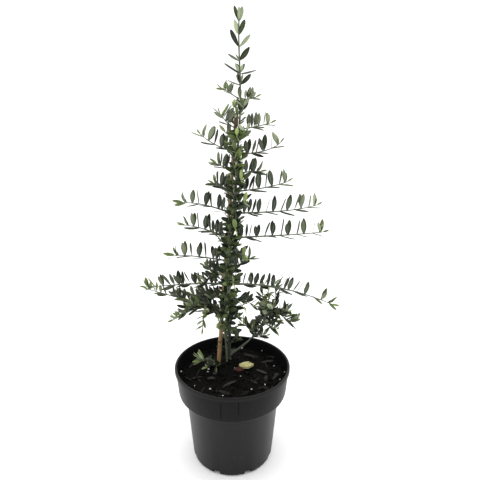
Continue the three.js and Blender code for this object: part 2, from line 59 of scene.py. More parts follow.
# Pot
POT_HEIGHT, RIM_RADIUS, RIM_LIP = 145, 82.5, 6
COLLAR_FOOT_RADIUS, BODY_TOP_RADIUS, FOOT_RADIUS = 77.8, 66.8, 59
COLLAR_FOOT, WALL = 105, 1.8
DRAIN_HOLES, DRAIN_SIZE, DRAIN_ROUNDING = 8, (13, 11, 14), 2

# Soil
SOIL_LEVEL, MOUND_RISE, MOUND_SPREAD = 127, 5, 26

# Trunk
TRUNK_FOOT, TRUNK_TOP, TRUNK_BACK = 100, 604, 34
TRUNK_BASE_RADIUS, TRUNK_TIP_RADIUS, TRUNK_TAPER = 2.6, 0.7, 0.8
TRUNK_SIDES, TRUNK_RINGS = 14, 120
NODE_SWELL, NODE_SPAN, FLARE, FLARE_SPAN = 0.16, 3, 0.55, 6
LEAN_FROM, LEAN_TO, LEAN_START, LEAN_RISE = -4.5, 10.5, 235, 265
WIGGLE, WIGGLE_PITCH, WIGGLE_START = 1, 150, 325

# Shoots: gap to the bark, radius of a short stem, reach that adds a millimetre of radius, largest
# radius as a share of the trunk's, radius at the tip, sideways sweep as a share of the reach
GAP, STEM_RADIUS, STEM_GROWTH, STEM_SHARE = 0.3, 0.85, 150, 0.75
STEM_TIP_RADIUS, SWEEP = 0.5, 0.05

# Cane
CANE_FOOT, CANE_TOP = Vector((-24.6, 27, 84)), Vector((6.2, 26.6, 491))
CANE_FOOT_RADIUS, CANE_TOP_RADIUS = 3.1, 2.3
CANE_KNOTS = (0.2, 0.52, 0.93)

# Leaf rule
LAST_PAIR, PAIR_STAGGER = 4, 0.7
UPPER_TILT, LOWER_TILT = 74, -16
FOOT_LEAF_SIZE, TIP_LEAF_SHRINK, YOUNG_FROM = 0.86, 0.22, 0.7
STAND_SPREAD, LEAN_SPREAD, TILT_SPREAD = 8, 9, 6
DRIFT_SPREAD, LENGTH_SPREAD, CURL_SPREAD = 0.15, 0.12, 1.2
TIP_CURL, TIP_LEAF_SHARE, TIP_LEAF_LEAST = 0.6, 0.85, 9
LEAF_SLENDER, TIP_LEAF_SLENDER, LEADER_LEAF_SLENDER = 0.285, 0.32, 0.34
LEAF_GROWTH, LEADER_LEAF_LEAST_WIDTH = 1.22, 3.6
FINER_ROLL, FINER_WIDTH = 60, 0.85
GREEN_CURVE, FRESH_GREEN, TIP_GREEN_FADE = 1.3, 0.6, 0.3
TOP_GREEN, TOP_GREEN_FROM, TOP_GREEN_TO = 0.34, 400, 500

# The leaves at a shoot's tip: distance back from it, lift, share of the length, roll to the front
TIP_LEAVES = ((1, 8, 1, 45), (3, 70, 0.62, -80), (6, 50, 0.5, 70))

# Seeds: steps from shoot to shoot and pair to pair, and what is added for each thing that is drawn
SHOOT_SEEDS, PAIR_SEEDS, SWEEP_SEEDS = 97, 7, 13
SWEEP_DRAW, CURL_DRAW, DRIFT_DRAW, STAND_DRAW = 3, 5, 11, 31
ROLL_DRAW, LENGTH_DRAW, TILT_DRAW, TIP_DRAW = 47, 57, 83, 91
COLUMN_SEEDS, LEADER_SEEDS = 7000, 9000

# Shoots on the trunk: height on the trunk, azimuth, reach, rise, slope at the trunk, slope at the
# tip, leaf pairs, leaf length, tip leaf

# Main branches from the top down, a left one and a right one to a line
SIDE_BRANCHES = (
    (510, 184, 24, 13, 30, 26, 3, 10, 7), (510, 4, 20, 2, -8, 20, 3, 11, 8),
    (472, 190, 25, 20, 22, 60, 3, 15, 9), (472, 10, 42, 8, 8, 18, 5, 15, 9),
    (442, 174, 50, 23, 15, 42, 5, 16, 9), (440, -6, 57, 16, 3, 42, 5, 16, 8),
    (416, 188, 27, 12, 22, 26, 3, 15, 14), (414, 8, 33, 2, 12, -5, 4, 15, 12),
    (389, 170, 32, 11, 14, 10, 3, 17, 11), (390, -10, 70, 15, 8, 22, 7, 17, 9),
    (359, 186, 70, 18, 22, 2, 7, 17, 18), (359, 6, 118, 8, 2, 14, 11, 18, 10),
    (324, 176, 66, 17, 18, 4, 7, 17, 15), (324, -4, 125, 14, 5, 10, 11, 17, 9),
    (290, 192, 77, 13, 13, 2, 7, 17, 20), (273, 12, 32, 18, 42, 8, 4, 17, 9),
    (254, 174, 126, -11, 3, -6, 10, 16, 8), (254, -6, 146, -20, 6, -20, 12, 16, 14),
)

# Short inner shoots from the top down, a front one and a back one to a line
INNER_SHOOTS = (
    (494, -50, 9, 9, 40, 50, 2, 12, 9), (492, 120, 12, 10, 40, 50, 2, 12, 9),
    (458, -36, 16, 15, 40, 50, 2, 13, 10), (456, 130, 28, 12, 25, 30, 3, 14, 9),
    (429, -75, 24, 8, 20, 25, 3, 14, 9), (430, 100, 40, 13, 20, 22, 4, 15, 9),
    (403, -78, 26, 6, 15, 20, 3, 15, 9), (401, 80, 46, 13, 18, 20, 4, 15, 9),
    (375, -62, 26, 4, 12, 12, 3, 15, 9), (376, 112, 52, 13, 16, 16, 4, 15, 9),
    (342, -84, 30, 2, 10, 8, 3, 15, 9), (343, 92, 58, 12, 14, 14, 4, 16, 9),
    (306, -58, 32, 0, 8, 0, 3, 15, 9), (307, 118, 60, 10, 12, 10, 4, 16, 9),
    (271, -74, 34, -3, 6, -6, 3, 15, 9), (272, 84, 64, 8, 10, 6, 4, 15, 9),
    (240, -60, 36, -8, 4, -16, 3, 14, 9), (241, 105, 66, 2, 8, -4, 4, 14, 9),
)
UPPER_INNER_SHOOTS = 10

# Lower shoots of the trunk, each with its name first
LOW_SHOOTS = (
    ("low_shoot_crown_left", 262, 158, 40, 14, 22, 12, 4, 13, 12),
    ("low_shoot_long_left", 212, 176, 124, 27, 14, 12, 7, 13, 8),
    ("low_shoot_back_left", 226, 148, 54, 8, 18, 0, 4, 13, 9),
    ("low_shoot_front_left", 216, 252, 42, -4, 10, -16, 4, 13, 9),
    ("low_shoot_thin_right", 232, -4, 39, -12, 10, -26, 3, 13, 9),
    ("low_shoot_small_right", 208, -34, 14, -3, 0, -10, 2, 10, 8),
)

# Shoots with a curve of their own: name, four curve points, leaf pairs, distance of the first pair,
# leaf length, tip leaf, radius. The first six are the bush at the right.
FREE_SHOOTS = (
    ("bush_stem", ((-3, 34, 140), (20, 30, 160), (55, 22, 190), (51, 18, 250)), 7, 58, 13, 9, 1.8),
    ("bush_shoot_up", ((40, 24, 190), (60, 29, 196), (68, 31, 235), (59, 30, 258)), 6, 12, 13, 9, 1.1),
    ("bush_shoot_right", ((50, 20, 221), (63, 16, 228), (78, 12, 200), (91, 10, 207)), 4, 14, 14, 9, 1),
    ("bush_shoot_front", ((45, 22, 199), (52, 14, 200), (58, 6, 196), (62, 0, 200)), 3, 9, 13, 12, 1),
    ("bush_shoot_left", ((29, 27, 178), (26, 20, 190), (22, 12, 198), (14, 8, 204)), 3, 12, 13, 10, 1),
    ("bush_shoot_back", ((47, 21, 205), (48, 38, 210), (44, 48, 224), (44, 54, 242)), 4, 14, 13, 9, 1),
    ("low_shoot_hanging", ((-4, 34, 235), (-24, 31, 242), (-42, 20, 240), (-42, 3, 198)), 5, 18, 13, 7, 1.1),
    ("basal_shoot", ((-9, 29, 108), (-7, 14, 262), (-30, 14, 238), (-86, 22, 203)), 7, 108, 13, 12, 1.5),
    ("soil_sucker", ((-23, 20, 112), (-24, 20, 146), (-36, 20, 142), (-49, 19, 138)), 3, 40, 15, 14, 1),
)
BUSH_SHOOTS = 6

# Twigs that only this model has: shoot it grows from, place along that, azimuth, reach, rise, slope
# where it starts, slope at the tip, leaf pairs, leaf length, tip leaf
TWIGS = (
    ("low_shoot_long_left", 0.12, 238, 36, 6, 20, 0, 5, 13, 10),
    ("low_shoot_long_left", 0.24, 150, 30, 12, 30, 10, 4, 13, 10),
    ("low_shoot_long_left", 0.28, 216, 30, 2, 16, -10, 4, 13, 10),
    ("low_shoot_long_left", 0.42, 232, 27, -10, 0, -30, 4, 13, 10),
    ("low_shoot_long_left", 0.48, 160, 24, 6, 20, 10, 4, 12, 9),
    ("low_shoot_back_left", 0.4, 200, 32, 4, 16, 0, 4, 13, 10),
    ("low_shoot_crown_left", 0.3, 214, 30, -4, 6, -16, 4, 13, 10),
    ("low_shoot_hanging", 0.35, 196, 28, -2, 10, -16, 4, 13, 10),
    ("low_shoot_front_left", 0.3, 196, 30, 4, 16, -6, 4, 13, 10),
    ("basal_shoot", 0.66, 216, 22, 6, 20, 10, 4, 12, 9),
    ("bush_stem", 0.42, -40, 26, 12, 30, 20, 4, 13, 10),
    ("bush_stem", 0.5, 250, 20, 18, 40, 40, 4, 13, 10),
    ("bush_stem", 0.72, -30, 16, 22, 50, 60, 4, 13, 10),
    ("bush_shoot_up", 0.35, -70, 20, 10, 30, 30, 4, 13, 10),
    ("bush_shoot_right", 0.35, -50, 20, 8, 20, 20, 4, 13, 10),
    ("bush_stem", 0.62, 10, 26, 6, 30, -6, 4, 13, 10),
    ("soil_sucker", 0.26, 222, 17, 2, 20, -14, 3, 8.5, 7),
    ("soil_sucker", 0.22, 150, 15, 4, 30, -10, 3, 8, 7),
    ("soil_sucker", 0.2, 275, 12, 3, 30, -10, 3, 8, 7),
)

# What some shoots have of their own: share of the young colour, width of the leaves, and how far
# from the trunk leaves stand between the pairs
OWN_GREEN = {"soil_sucker": 0.85, "low_shoot_hanging": 0.2, "bush_shoot_up": 0.05}
OWN_WIDTH = {"soil_sucker": 0.8}
OWN_FILL_REACH = {"branch_8_left": 84, "branch_8_right": 92}

# Leaves on the leader: height, distance to the right, azimuth, elevation, length, curl, roll of the
# upper side to the front, share of the young colour
LEADER_LEAVES = (
    (600, 0, 180, 72, 19, 0.5, 35, 0.1), (600, 0, 0, 75, 18, 0.5, -75, 0.75),
    (601, 0, 96, 80, 15, 0, 0, 0.6), (601, 0, -84, 78, 16, 0, 30, 0.95),
    (585, 0, 170, 70, 19, 0.4, -80, 0.9), (585, 0, -10, 68, 19, 0.4, 80, 0.2),
    (571, 0, 186, 60, 23, 0.8, 42, 0), (571, 0, 6, 46, 21, 0.8, -36, 0.5),
    (555, 0, 206, 24, 18, 1, -15, 0.2), (555, 0, 10, 50, 21, 0.8, 68, 0),
    (556, 0, 180, 55, 9, 0, -40, 0.5), (540, 0, 182, 24, 23, 3, 22, 0),
    (540, 0, 2, 6, 22, 3, 24, 0), (541, 0, 200, 62, 13, 0.5, -78, 0.85),
    (541, 0, 150, 70, 12, 0.5, 75, 0.25), (541, 0, -26, 70, 11, 0.5, -70, 0.8),
    (541, 0, 24, 60, 13, 0.5, 70, 0.4), (527, 0, 168, 14, 18, 2, -20, 0.4),
    (527, 0, -12, 38, 19, 3, 66, 0), (528, 0, 214, 72, 14, 0.5, 60, 0.05),
    (528, 0, 150, 62, 13, 0.5, -60, 0.5), (528, 0, 30, 70, 13, 0.5, -65, 0.45),
    (528, 0, -40, 60, 12, 0.5, 50, 0.4), (510, 0, 192, 80, 14, 0.5, -78, 0.6),
    (511, 0, 160, 84, 14, 0.5, 75, 0.05), (519, -16, 182, 84, 11, 0, -78, 0.7),
    (510, 6, 10, 84, 11, 0, -75, 0.6), (510, 9, 10, 74, 15, 0.5, 65, 0),
    (510.5, 15, 0, 62, 9, 0, -80, 0.55), (494, 0, -20, 44, 17, 2, 70, 0),
    (497, 0, 20, 60, 15, 1, -55, 0.3), (493, 0, 184, 78, 16, 0.5, 60, 0.4),
    (492, 0, 176, 46, 13, 0, 12, 0.1),
)

# Short leafy spurs round the trunk, a golden angle apart, more of them before the cane, and single
# leaves on the trunk: number, height of the lowest and of the highest, then the reach and the leaf
# length of the lowest and of the highest
SPURS, SPUR_FOOT, SPUR_TOP = 29, 160, 486
SPUR_REACH, SPUR_LEAF, SPUR_REACH_SPREAD = (14, 8), (14, 10), 2.5
COVER_SPURS, COVER_FOOT, COVER_TOP, COVER_AZIMUTH = 26, 200, 468, -95
COVER_REACH, COVER_LEAF = (24, 18), (15, 12.5)
COLUMN_LEAVES, COLUMN_FOOT, COLUMN_TOP, COLUMN_LEAF = 62, 146, 492, (20, 13)
GOLDEN_ANGLE = 137.5


def chance(seed):
    """A number from 0 to 1 that is always the same for the same seed."""
    value = math.sin(seed * 12.9898 + 4.1414) * 43758.5453
    return value - math.floor(value)


def spread(seed, reach):
    """A number from -reach to reach that is always the same for the same seed."""
    return (chance(seed) * 2 - 1) * reach


def between(low, high, share):
    return low + (high - low) * share


def clamped(share):
    return min(1, max(0, share))


def beyond(start, share):
    """0 as far as the start, and from there up to 1 at the end."""
    return max(0, (share - start) / (1 - start))


# Settings that a user would change


def tint(name, description, default):
    return FloatVectorProperty(
        name=name, description=description, subtype="COLOR", size=3, min=0, max=1, default=default)


def amount(name, description, default, most, least=0, unit="NONE"):
    return FloatProperty(
        name=name, description=description, default=default, min=least, max=most, unit=unit)


class OlivePotSettings(bpy.types.PropertyGroup):
    """Plastic of the nursery pot"""

    plastic: tint("Plastic", "Colour of the moulded plastic", (0.0065, 0.0065, 0.0068))
    dust: tint("Dust", "Colour of the dry soil dust on the plastic", (0.11, 0.095, 0.075))
    sides: IntProperty(
        name="Sides", description="Number of flats round the pot", min=48, max=256, default=144)


class OliveSoilSettings(bpy.types.PropertyGroup):
    """Potting mix and what lies on it"""

    peat: tint("Peat", "Colour of the damp fine mix", (0.0012, 0.0011, 0.0010))
    bark: tint("Bark", "Colour of the bark bits in the mix", (0.006, 0.0042, 0.003))
    crumbs: IntProperty(
        name="Crumbs", description="Number of loose crumbs on the surface", min=0, max=1500, default=620)
    relief: amount("Relief", "Height of the lumps in the surface", 0.0022, 0.005, unit="LENGTH")


class OliveFoliageSettings(bpy.types.PropertyGroup):
    """Leaves and stems"""

    top: tint("Upper side", "Colour of the upper side of an old leaf", (0.0095, 0.0142, 0.0095))
    under: tint("Underside", "Colour of the underside of an old leaf", (0.038, 0.0465, 0.038))
    young_top: tint("Young upper side", "Colour of the upper side of a young leaf", (0.19, 0.25, 0.075))
    young_under: tint("Young underside", "Colour of the underside of a young leaf", (0.43, 0.495, 0.31))
    stem: tint("Stem", "Colour of the thin stems", (0.2, 0.225, 0.165))
    # The bark colour is that of the trunk's foot, darkened by painted shade
    bark: tint("Bark", "Colour of the trunk's bark", (0.055, 0.058, 0.04))
    blade: amount("Blade thickness", "Thickness of a leaf as a share of its length", 0.02, 0.06, 0.005)


class OliveCaneSettings(bpy.types.PropertyGroup):
    """Bamboo cane"""

    skin: tint("Skin", "Colour of the cane's skin", (0.43, 0.28, 0.13))
    stain: tint("Stain", "Colour of the knots and the weathered top", (0.055, 0.022, 0.010))


class OliveStudioSettings(bpy.types.PropertyGroup):
    """Floor, light and camera"""

    floor: tint("Floor", "Colour of the floor", (0.96, 0.96, 0.96))
    backdrop: amount("Backdrop", "Brightness of the studio behind the plant", 1.3, 3)
    camera_side: amount("Camera side", "Brightness of the studio behind the camera", 0.45, 3)
    overhead: amount("Overhead", "Brightness of the studio above the plant", 1.6, 4)
    sides: amount("Side lights", "Power of each side light", 5, 100, unit="POWER")
    top: amount("Top light", "Power of the light above", 7, 100, unit="POWER")


# Shader maths


class Wire:
    """A shader socket whose arithmetic adds Math nodes."""

    def __init__(self, nodes, socket):
        self.nodes, self.socket = nodes, socket

    def maths(self, operation, *values):
        return self.nodes.node("ShaderNodeMath", {"operation": operation}, dict(enumerate(values)))

    def __add__(self, other):
        return self.maths("ADD", self, other)

    def __sub__(self, other):
        return self.maths("SUBTRACT", self, other)

    def __rsub__(self, other):
        return self.maths("SUBTRACT", other, self)

    def __mul__(self, other):
        return self.maths("MULTIPLY", self, other)

    def __truediv__(self, other):
        return self.maths("DIVIDE", self, other)

    def __abs__(self):
        return self.maths("ABSOLUTE", self)

    __radd__ = __add__
    __rmul__ = __mul__


class Nodes:
    """The nodes of a material or of the world, all added by one method."""

    def __init__(self, tree, coordinates):
        self.tree = tree
        self.place = self.node("ShaderNodeTexCoord", {}, {}, coordinates)

    def node(self, kind, settings, values, out=0):
        """Adds a node with its settings and inputs, and gives one of its outputs."""
        made = self.tree.nodes.new(kind)
        for name, value in settings.items():
            if name == "stops":
                self.set_stops(made.color_ramp.elements, value)
            else:
                setattr(made, name, value)
        for name, value in values.items():
            self.feed(made.inputs[name], value)
        return Wire(self, made.outputs[out])

    def feed(self, socket, value):
        if isinstance(value, Wire):
            self.tree.links.new(value.socket, socket)
        elif socket.type == "RGBA":
            socket.default_value = (*value[:3], 1)
        else:
            socket.default_value = value

    @staticmethod
    def set_stops(elements, stops):
        while len(elements) > len(stops):
            elements.remove(elements[-1])
        while len(elements) < len(stops):
            elements.new(1)
        for element, (position, value) in zip(elements, stops):
            element.position = position
            element.color = (value, value, value, 1)

    def rise(self, value, low, high, least=0.0, most=1.0):
        """Goes softly from least to most as the value goes from low to high."""
        return self.node(
            "ShaderNodeMapRange", {"interpolation_type": "SMOOTHSTEP"},
            {"Value": value, "From Min": low, "From Max": high, "To Min": least, "To Max": most})

    def axis(self, name):
        """One coordinate of the place that is shaded."""
        return self.node("ShaderNodeSeparateXYZ", {}, {0: self.place}, name)


class Finish(Nodes):
    """A material in the making: a Principled shader and the nodes that feed it."""

    def __init__(self, name, **constants):
        self.material = bpy.data.materials.new(name)
        self.material.use_nodes = True
        super().__init__(self.material.node_tree, "Object")
        self.shader = self.tree.nodes["Principled BSDF"]
        self.set(**constants)

    def set(self, **values):
        """Sets or feeds sockets of the shader, and gives the material."""
        for name, value in values.items():
            self.feed(self.shader.inputs[name.replace("_", " ")], value)
        return self.material

    def noise(self, scale, detail=3, stretch=(1, 1, 1), roughness=0.5, turn=(0, 0, 0)):
        """Soft noise from 0 to 1 on the object's own coordinates, stretched along its axes."""
        place = self.node(
            "ShaderNodeMapping", {}, {"Vector": self.place, "Scale": stretch, "Rotation": turn})
        return self.node(
            "ShaderNodeTexNoise", {},
            {"Vector": place, "Scale": scale, "Detail": detail, "Roughness": roughness})

    def curve(self, value, *stops):
        """A value from 0 to 1 passed through the stops (input, output)."""
        return self.node("ShaderNodeValToRGB", {"stops": stops}, {0: value})

    def mix(self, share, first, second):
        """A colour between two colours."""
        return self.node("ShaderNodeMix", {"data_type": "RGBA"}, {0: share, 6: first, 7: second}, 2)

    def shade(self, colour, factor):
        """A colour made lighter or darker by a factor."""
        grey = self.node("ShaderNodeCombineColor", {}, {0: factor, 1: factor, 2: factor})
        return self.node(
            "ShaderNodeMix", {"data_type": "RGBA", "blend_type": "MULTIPLY"},
            {0: 1.0, 6: colour, 7: grey}, 2)

    def attribute(self, name):
        return self.node("ShaderNodeAttribute", {"attribute_name": name}, {}, "Fac")

    def bump(self, height, depth, strength=1.0):
        """Feeds the shader's normal with a relief of a depth in metres."""
        relief = {"Height": height, "Distance": depth, "Strength": strength}
        self.set(Normal=self.node("ShaderNodeBump", {}, relief, "Normal"))


# Modelling helpers


def deselect():
    if bpy.context.object and bpy.context.object.mode != "OBJECT":
        bpy.ops.object.mode_set(mode="OBJECT")
    bpy.ops.object.select_all(action="DESELECT")


def select(*pieces):
    deselect()
    for piece in pieces:
        piece.select_set(True)
    bpy.context.view_layer.objects.active = pieces[0]


@contextmanager
def edit_mode():
    """Edit mode on the active mesh, with all of it selected at the start."""
    bpy.ops.object.mode_set(mode="EDIT")
    bpy.ops.mesh.select_all(action="SELECT")
    yield
    bpy.ops.object.mode_set(mode="OBJECT")


def pick(piece, kind, test):
    """Selects a mesh's vertices, edges or faces by a test, in edit mode."""
    edited = bmesh.from_edit_mesh(piece.data)
    for item in (*edited.faces, *edited.edges, *edited.verts):
        item.select = False
    for item in getattr(edited, kind):
        if test(item):
            item.select = True
    edited.select_flush_mode()
    bmesh.update_edit_mesh(piece.data)


def face_outwards():
    bpy.ops.mesh.select_all(action="SELECT")
    bpy.ops.mesh.normals_make_consistent(inside=False)


def turned(name, sides, profile):
    """A round solid: a disc that is extruded and resized from each (radius, height) to the next."""
    deselect()
    (radius, height), *others = [(r * MM, z * MM) for r, z in profile]
    bpy.ops.mesh.primitive_circle_add(vertices=sides, radius=radius, fill_type="NGON")
    piece = bpy.context.object
    piece.name = name
    with edit_mode():
        bpy.ops.transform.translate(value=(0, 0, height))
        for next_radius, next_height in others:
            bpy.ops.mesh.extrude_region_move(
                TRANSFORM_OT_translate={"value": (0, 0, next_height - height)})
            scale = next_radius / radius
            bpy.ops.transform.resize(value=(scale, scale, 1), center_override=(0, 0, 0))
            radius, height = next_radius, next_height
        face_outwards()
    return piece


def add_modifier(piece, kind, **settings):
    modifier = piece.modifiers.new(kind.title(), kind)
    for name, value in settings.items():
        setattr(modifier, name, value)


def apply_modifiers(piece):
    select(piece)
    for modifier in list(piece.modifiers):
        bpy.ops.object.modifier_apply(modifier=modifier.name)


def smooth(piece, angle):
    select(piece)
    bpy.ops.object.shade_smooth_by_angle(angle=math.radians(angle))


def displace(piece, name, size, strength, group=""):
    """Raises and sinks a mesh by soft procedural clouds, of a size and strength in metres."""
    clouds = bpy.data.textures.new(name, "CLOUDS")
    clouds.noise_scale = size
    clouds.noise_depth = 3
    add_modifier(
        piece, "DISPLACE", texture=clouds, texture_coords="LOCAL", strength=strength,
        mid_level=0.5, vertex_group=group)


def join(name, pieces):
    select(*pieces)
    if len(pieces) > 1:
        bpy.ops.object.join()
    joined = bpy.context.object
    joined.name = name
    joined.data.name = name
    return joined


def place_copy(name, mesh):
    """An object at the origin for a mesh that holds its own place."""
    copy = bpy.data.objects.new(name, mesh)
    bpy.context.collection.objects.link(copy)
    return copy


def discard(pieces):
    for piece in pieces:
        bpy.data.objects.remove(piece)


def coat(piece, *materials):
    """Gives a piece its materials in place of any that it has."""
    piece.data.materials.clear()
    for material in materials:
        piece.data.materials.append(material)


def mark(mesh, **values):
    """Gives every point of a mesh the same value in each named attribute."""
    for name, value in values.items():
        layer = mesh.attributes.new(name, "FLOAT", "POINT")
        layer.data.foreach_set("value", [value] * len(mesh.vertices))


def dress(piece, slot, *nodes):
    """Hands a finished piece to the frame: it rides on the pot, and stands for its CAD nodes."""
    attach(piece, "root")
    if nodes:
        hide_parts(*nodes)


# Lines of the plant


def trunk_at(height):
    share = clamped((height - LEAN_START) / LEAN_RISE)
    lean = share * share * (3 - 2 * share)
    wave = WIGGLE * math.sin(2 * math.pi * (height - WIGGLE_START) / WIGGLE_PITCH)
    return Vector((between(LEAN_FROM, LEAN_TO, lean) + wave, TRUNK_BACK, height))


def trunk_radius(height):
    share = max(0, (TRUNK_TOP - height) / (TRUNK_TOP - TRUNK_FOOT))
    return between(TRUNK_TIP_RADIUS, TRUNK_BASE_RADIUS, share ** TRUNK_TAPER)


def heading(azimuth):
    return Vector((math.cos(math.radians(azimuth)), math.sin(math.radians(azimuth)), 0))


def swing(start, towards, angle):
    """A direction swung towards another, square to it, by an angle."""
    return start * math.cos(math.radians(angle)) + towards * math.sin(math.radians(angle))


def climbing(out, up, angle):
    """A direction that climbs by an angle, and the upper face of a leaf that points so."""
    return swing(out, up, angle), swing(up, -out, angle)


# A leaf's tone is painted light and shade by its kind of shoot; its copy adds a random tone
Leaf = namedtuple("Leaf", "root axis face length width curl seed young tone")


class Shoot:
    """A stem on a cubic curve, with the rule that sets leaves along it."""

    LINE_STEPS = 200

    def __init__(self, name, number, points, side, pairs, leaf, tip, radius, habit):
        self.name, self.number, self.points, self.side = name, number, points, side
        self.pairs, self.leaf, self.tip, self.radius = pairs, leaf, tip, radius
        vars(self).update(habit)
        line = [self.at(i / self.LINE_STEPS) for i in range(self.LINE_STEPS + 1)]
        self.length = sum((b - a).length for a, b in zip(line, line[1:]))
        self.step = (self.length - LAST_PAIR - self.first) / max(1, self.pairs - 1)

    def at(self, t):
        a, b, c, d = self.points
        s = 1 - t
        return a * s ** 3 + b * (3 * s * s * t) + c * (3 * s * t * t) + d * t ** 3

    def along(self, t):
        a, b, c, d = self.points
        s = 1 - t
        return ((b - a) * (s * s) + (c - b) * (2 * s * t) + (d - c) * (t * t)).normalized()

    def across(self, along):
        side = (self.side - along * self.side.dot(along)).normalized()
        up = along.cross(side)
        return side, up if up.z >= 0 else -up

    def seed(self, pair, hand):
        return self.number * SHOOT_SEEDS + pair * PAIR_SEEDS + hand

    def flat_leaf(self, pair, hand, along):
        """Direction and upper face of one leaf, each pair a quarter turn from the last."""
        side, up = self.across(along)
        seed = self.seed(pair, hand)
        lean = self.lean + spread(seed, LEAN_SPREAD)
        if (math.ceil(pair) + self.number) % 2 == 0:
            stand = self.stand + spread(seed + STAND_DRAW, STAND_SPREAD)
            axis, face = climbing(side * hand, up, stand)
            return swing(axis, along, lean), face
        tilt = (UPPER_TILT - lean / 2 if hand > 0 else LOWER_TILT) + spread(seed + TILT_DRAW, TILT_SPREAD)
        axis, face = climbing(along, up, tilt)
        axis = (axis + side * spread(seed + DRIFT_DRAW, DRIFT_SPREAD)).normalized()
        face = face * -hand
        return axis, (face - axis * face.dot(axis)).normalized()

    def rolled_leaf(self, pair, hand, along):
        """The same after its roll, which is larger on the finer leaves between the pairs."""
        axis, face = self.flat_leaf(pair, hand, along)
        finer = pair != int(pair) or pair == self.pairs - 1
        reach = max(self.roll, FINER_ROLL) if finer else self.roll
        roll = hand * self.turn + spread(self.seed(pair, hand) + ROLL_DRAW, reach)
        return axis, swing(face, axis.cross(face), roll)

    def leaves(self):
        for place in range((self.pairs - 1) * self.fill + 1):
            pair, finer = place / self.fill, place % self.fill > 0
            distance = self.first + self.step * pair
            if not finer or distance <= self.fill_reach:
                for hand in (1, -1):
                    yield self.pair_leaf(pair, hand, distance / self.length, finer)
        yield from self.tip_leaves()

    def pair_leaf(self, pair, hand, t, finer):
        seed = self.seed(pair, hand)
        grown = between(FOOT_LEAF_SIZE, 1, min(1, t * 2)) - TIP_LEAF_SHRINK * beyond(YOUNG_FROM, t)
        length = LEAF_GROWTH * self.leaf * grown * (1 + spread(seed + LENGTH_DRAW, LENGTH_SPREAD))
        width = length * LEAF_SLENDER * self.wide * (FINER_WIDTH if finer else 1)
        root = self.at(t + hand * PAIR_STAGGER / self.length)
        axis, face = self.rolled_leaf(pair, hand, self.along(t))
        green = self.tip_green * beyond(self.green_from, t) ** GREEN_CURVE + self.green
        fresh = FRESH_GREEN if chance(seed * 1.9) < self.fresh else 0
        curl = spread(seed + CURL_DRAW, CURL_SPREAD)
        return Leaf(root, axis, face, length, width, curl, seed, green + fresh, self.tone)

    def tip_leaves(self):
        along = self.along(1)
        side, up = self.across(along)
        front = side if side.y < 0 else -side
        for index, (back, lift, share, roll) in enumerate(TIP_LEAVES[:self.tips]):
            axis, face = climbing(along, up, lift)
            first = max(TIP_LEAF_LEAST, TIP_LEAF_SHARE * self.tip)
            length = share * (LEAF_GROWTH * self.leaf if index else first)
            yield Leaf(
                self.at(1 - back / self.length), axis, swing(face, front, roll), length,
                length * TIP_LEAF_SLENDER, TIP_CURL, self.number * SHOOT_SEEDS + TIP_DRAW + index,
                self.tip_green * (1 - TIP_GREEN_FADE * index) + self.green, self.tone)


def leaf_habit(**changes):
    """How a kind of shoot sets its leaves: a common habit, and what differs from it.

    Distance of the first pair; stand, lean, roll and turn of a leaf; its width; the places to a pair
    and how far they go; leaves at the tip; the young colour everywhere, where it starts to grow, at
    the tip, and the share of leaves that have it wherever they are; lightness, which is painted
    light and shade.
    """
    common = {
        "first": 8, "stand": 44, "lean": 20, "roll": 60, "turn": 0, "wide": 1.25, "fill": 2,
        "fill_reach": 999, "tips": 2, "green": 0, "green_from": 0.7, "tip_green": 0.9, "fresh": 0.1,
        "tone": -0.2,
    }
    return {**common, **changes}


# Each habit's tone is painted light and shade: darker leaves on the side branches and the bush,
# paler ones on the inner shoots and spurs by the trunk, the low shoots and twigs in between
SIDE_HABIT = leaf_habit(
    first=11, stand=76, lean=8, roll=14, wide=1.15, fill_reach=24, tips=3, green_from=0.55,
    tip_green=0.75, fresh=0)
INNER_HABIT = leaf_habit(roll=70, wide=1.2, fill=1, tips=1, green=0.04, tone=1.3)
LOW_HABIT = leaf_habit(first=11, stand=52, fresh=0.16, tone=0.5)
FREE_HABIT = leaf_habit(stand=48, lean=24, wide=1.15, fill=3)
TWIG_HABIT = leaf_habit(first=5, stand=40, lean=26, roll=65, tone=0.1)
SPUR_HABIT = leaf_habit(
    first=4, stand=30, lean=30, roll=75, fill=1, tips=1, tip_green=0.6, fresh=0.08, tone=1.3)
COVER_HABIT = {**SPUR_HABIT, "roll": 28, "turn": 58}


def named_rows(kind, ends, rows):
    """Rows with names such as branch_3_left, two to a number."""
    for index, row in enumerate(rows):
        yield (f"{kind}_{index // 2}_{ends[index % 2]}", *row)


def spur_rows():
    for index in range(SPURS):
        share = index / (SPURS - 1)
        reach = between(*SPUR_REACH, share) + spread(index * 1.7, SPUR_REACH_SPREAD)
        yield ("spur", between(SPUR_FOOT, SPUR_TOP, share), index * GOLDEN_ANGLE, reach,
               reach * 0.3, 30, 10, 2, between(*SPUR_LEAF, share), 9)


def cover_rows():
    for index in range(COVER_SPURS):
        share = index / (COVER_SPURS - 1)
        azimuth = COVER_AZIMUTH + spread(index * 2.3, 6)
        yield ("cover_spur", between(COVER_FOOT, COVER_TOP, share), azimuth,
               between(*COVER_REACH, share), spread(index * 4.1, 6), 10, 0, 4,
               between(*COVER_LEAF, share), 9)


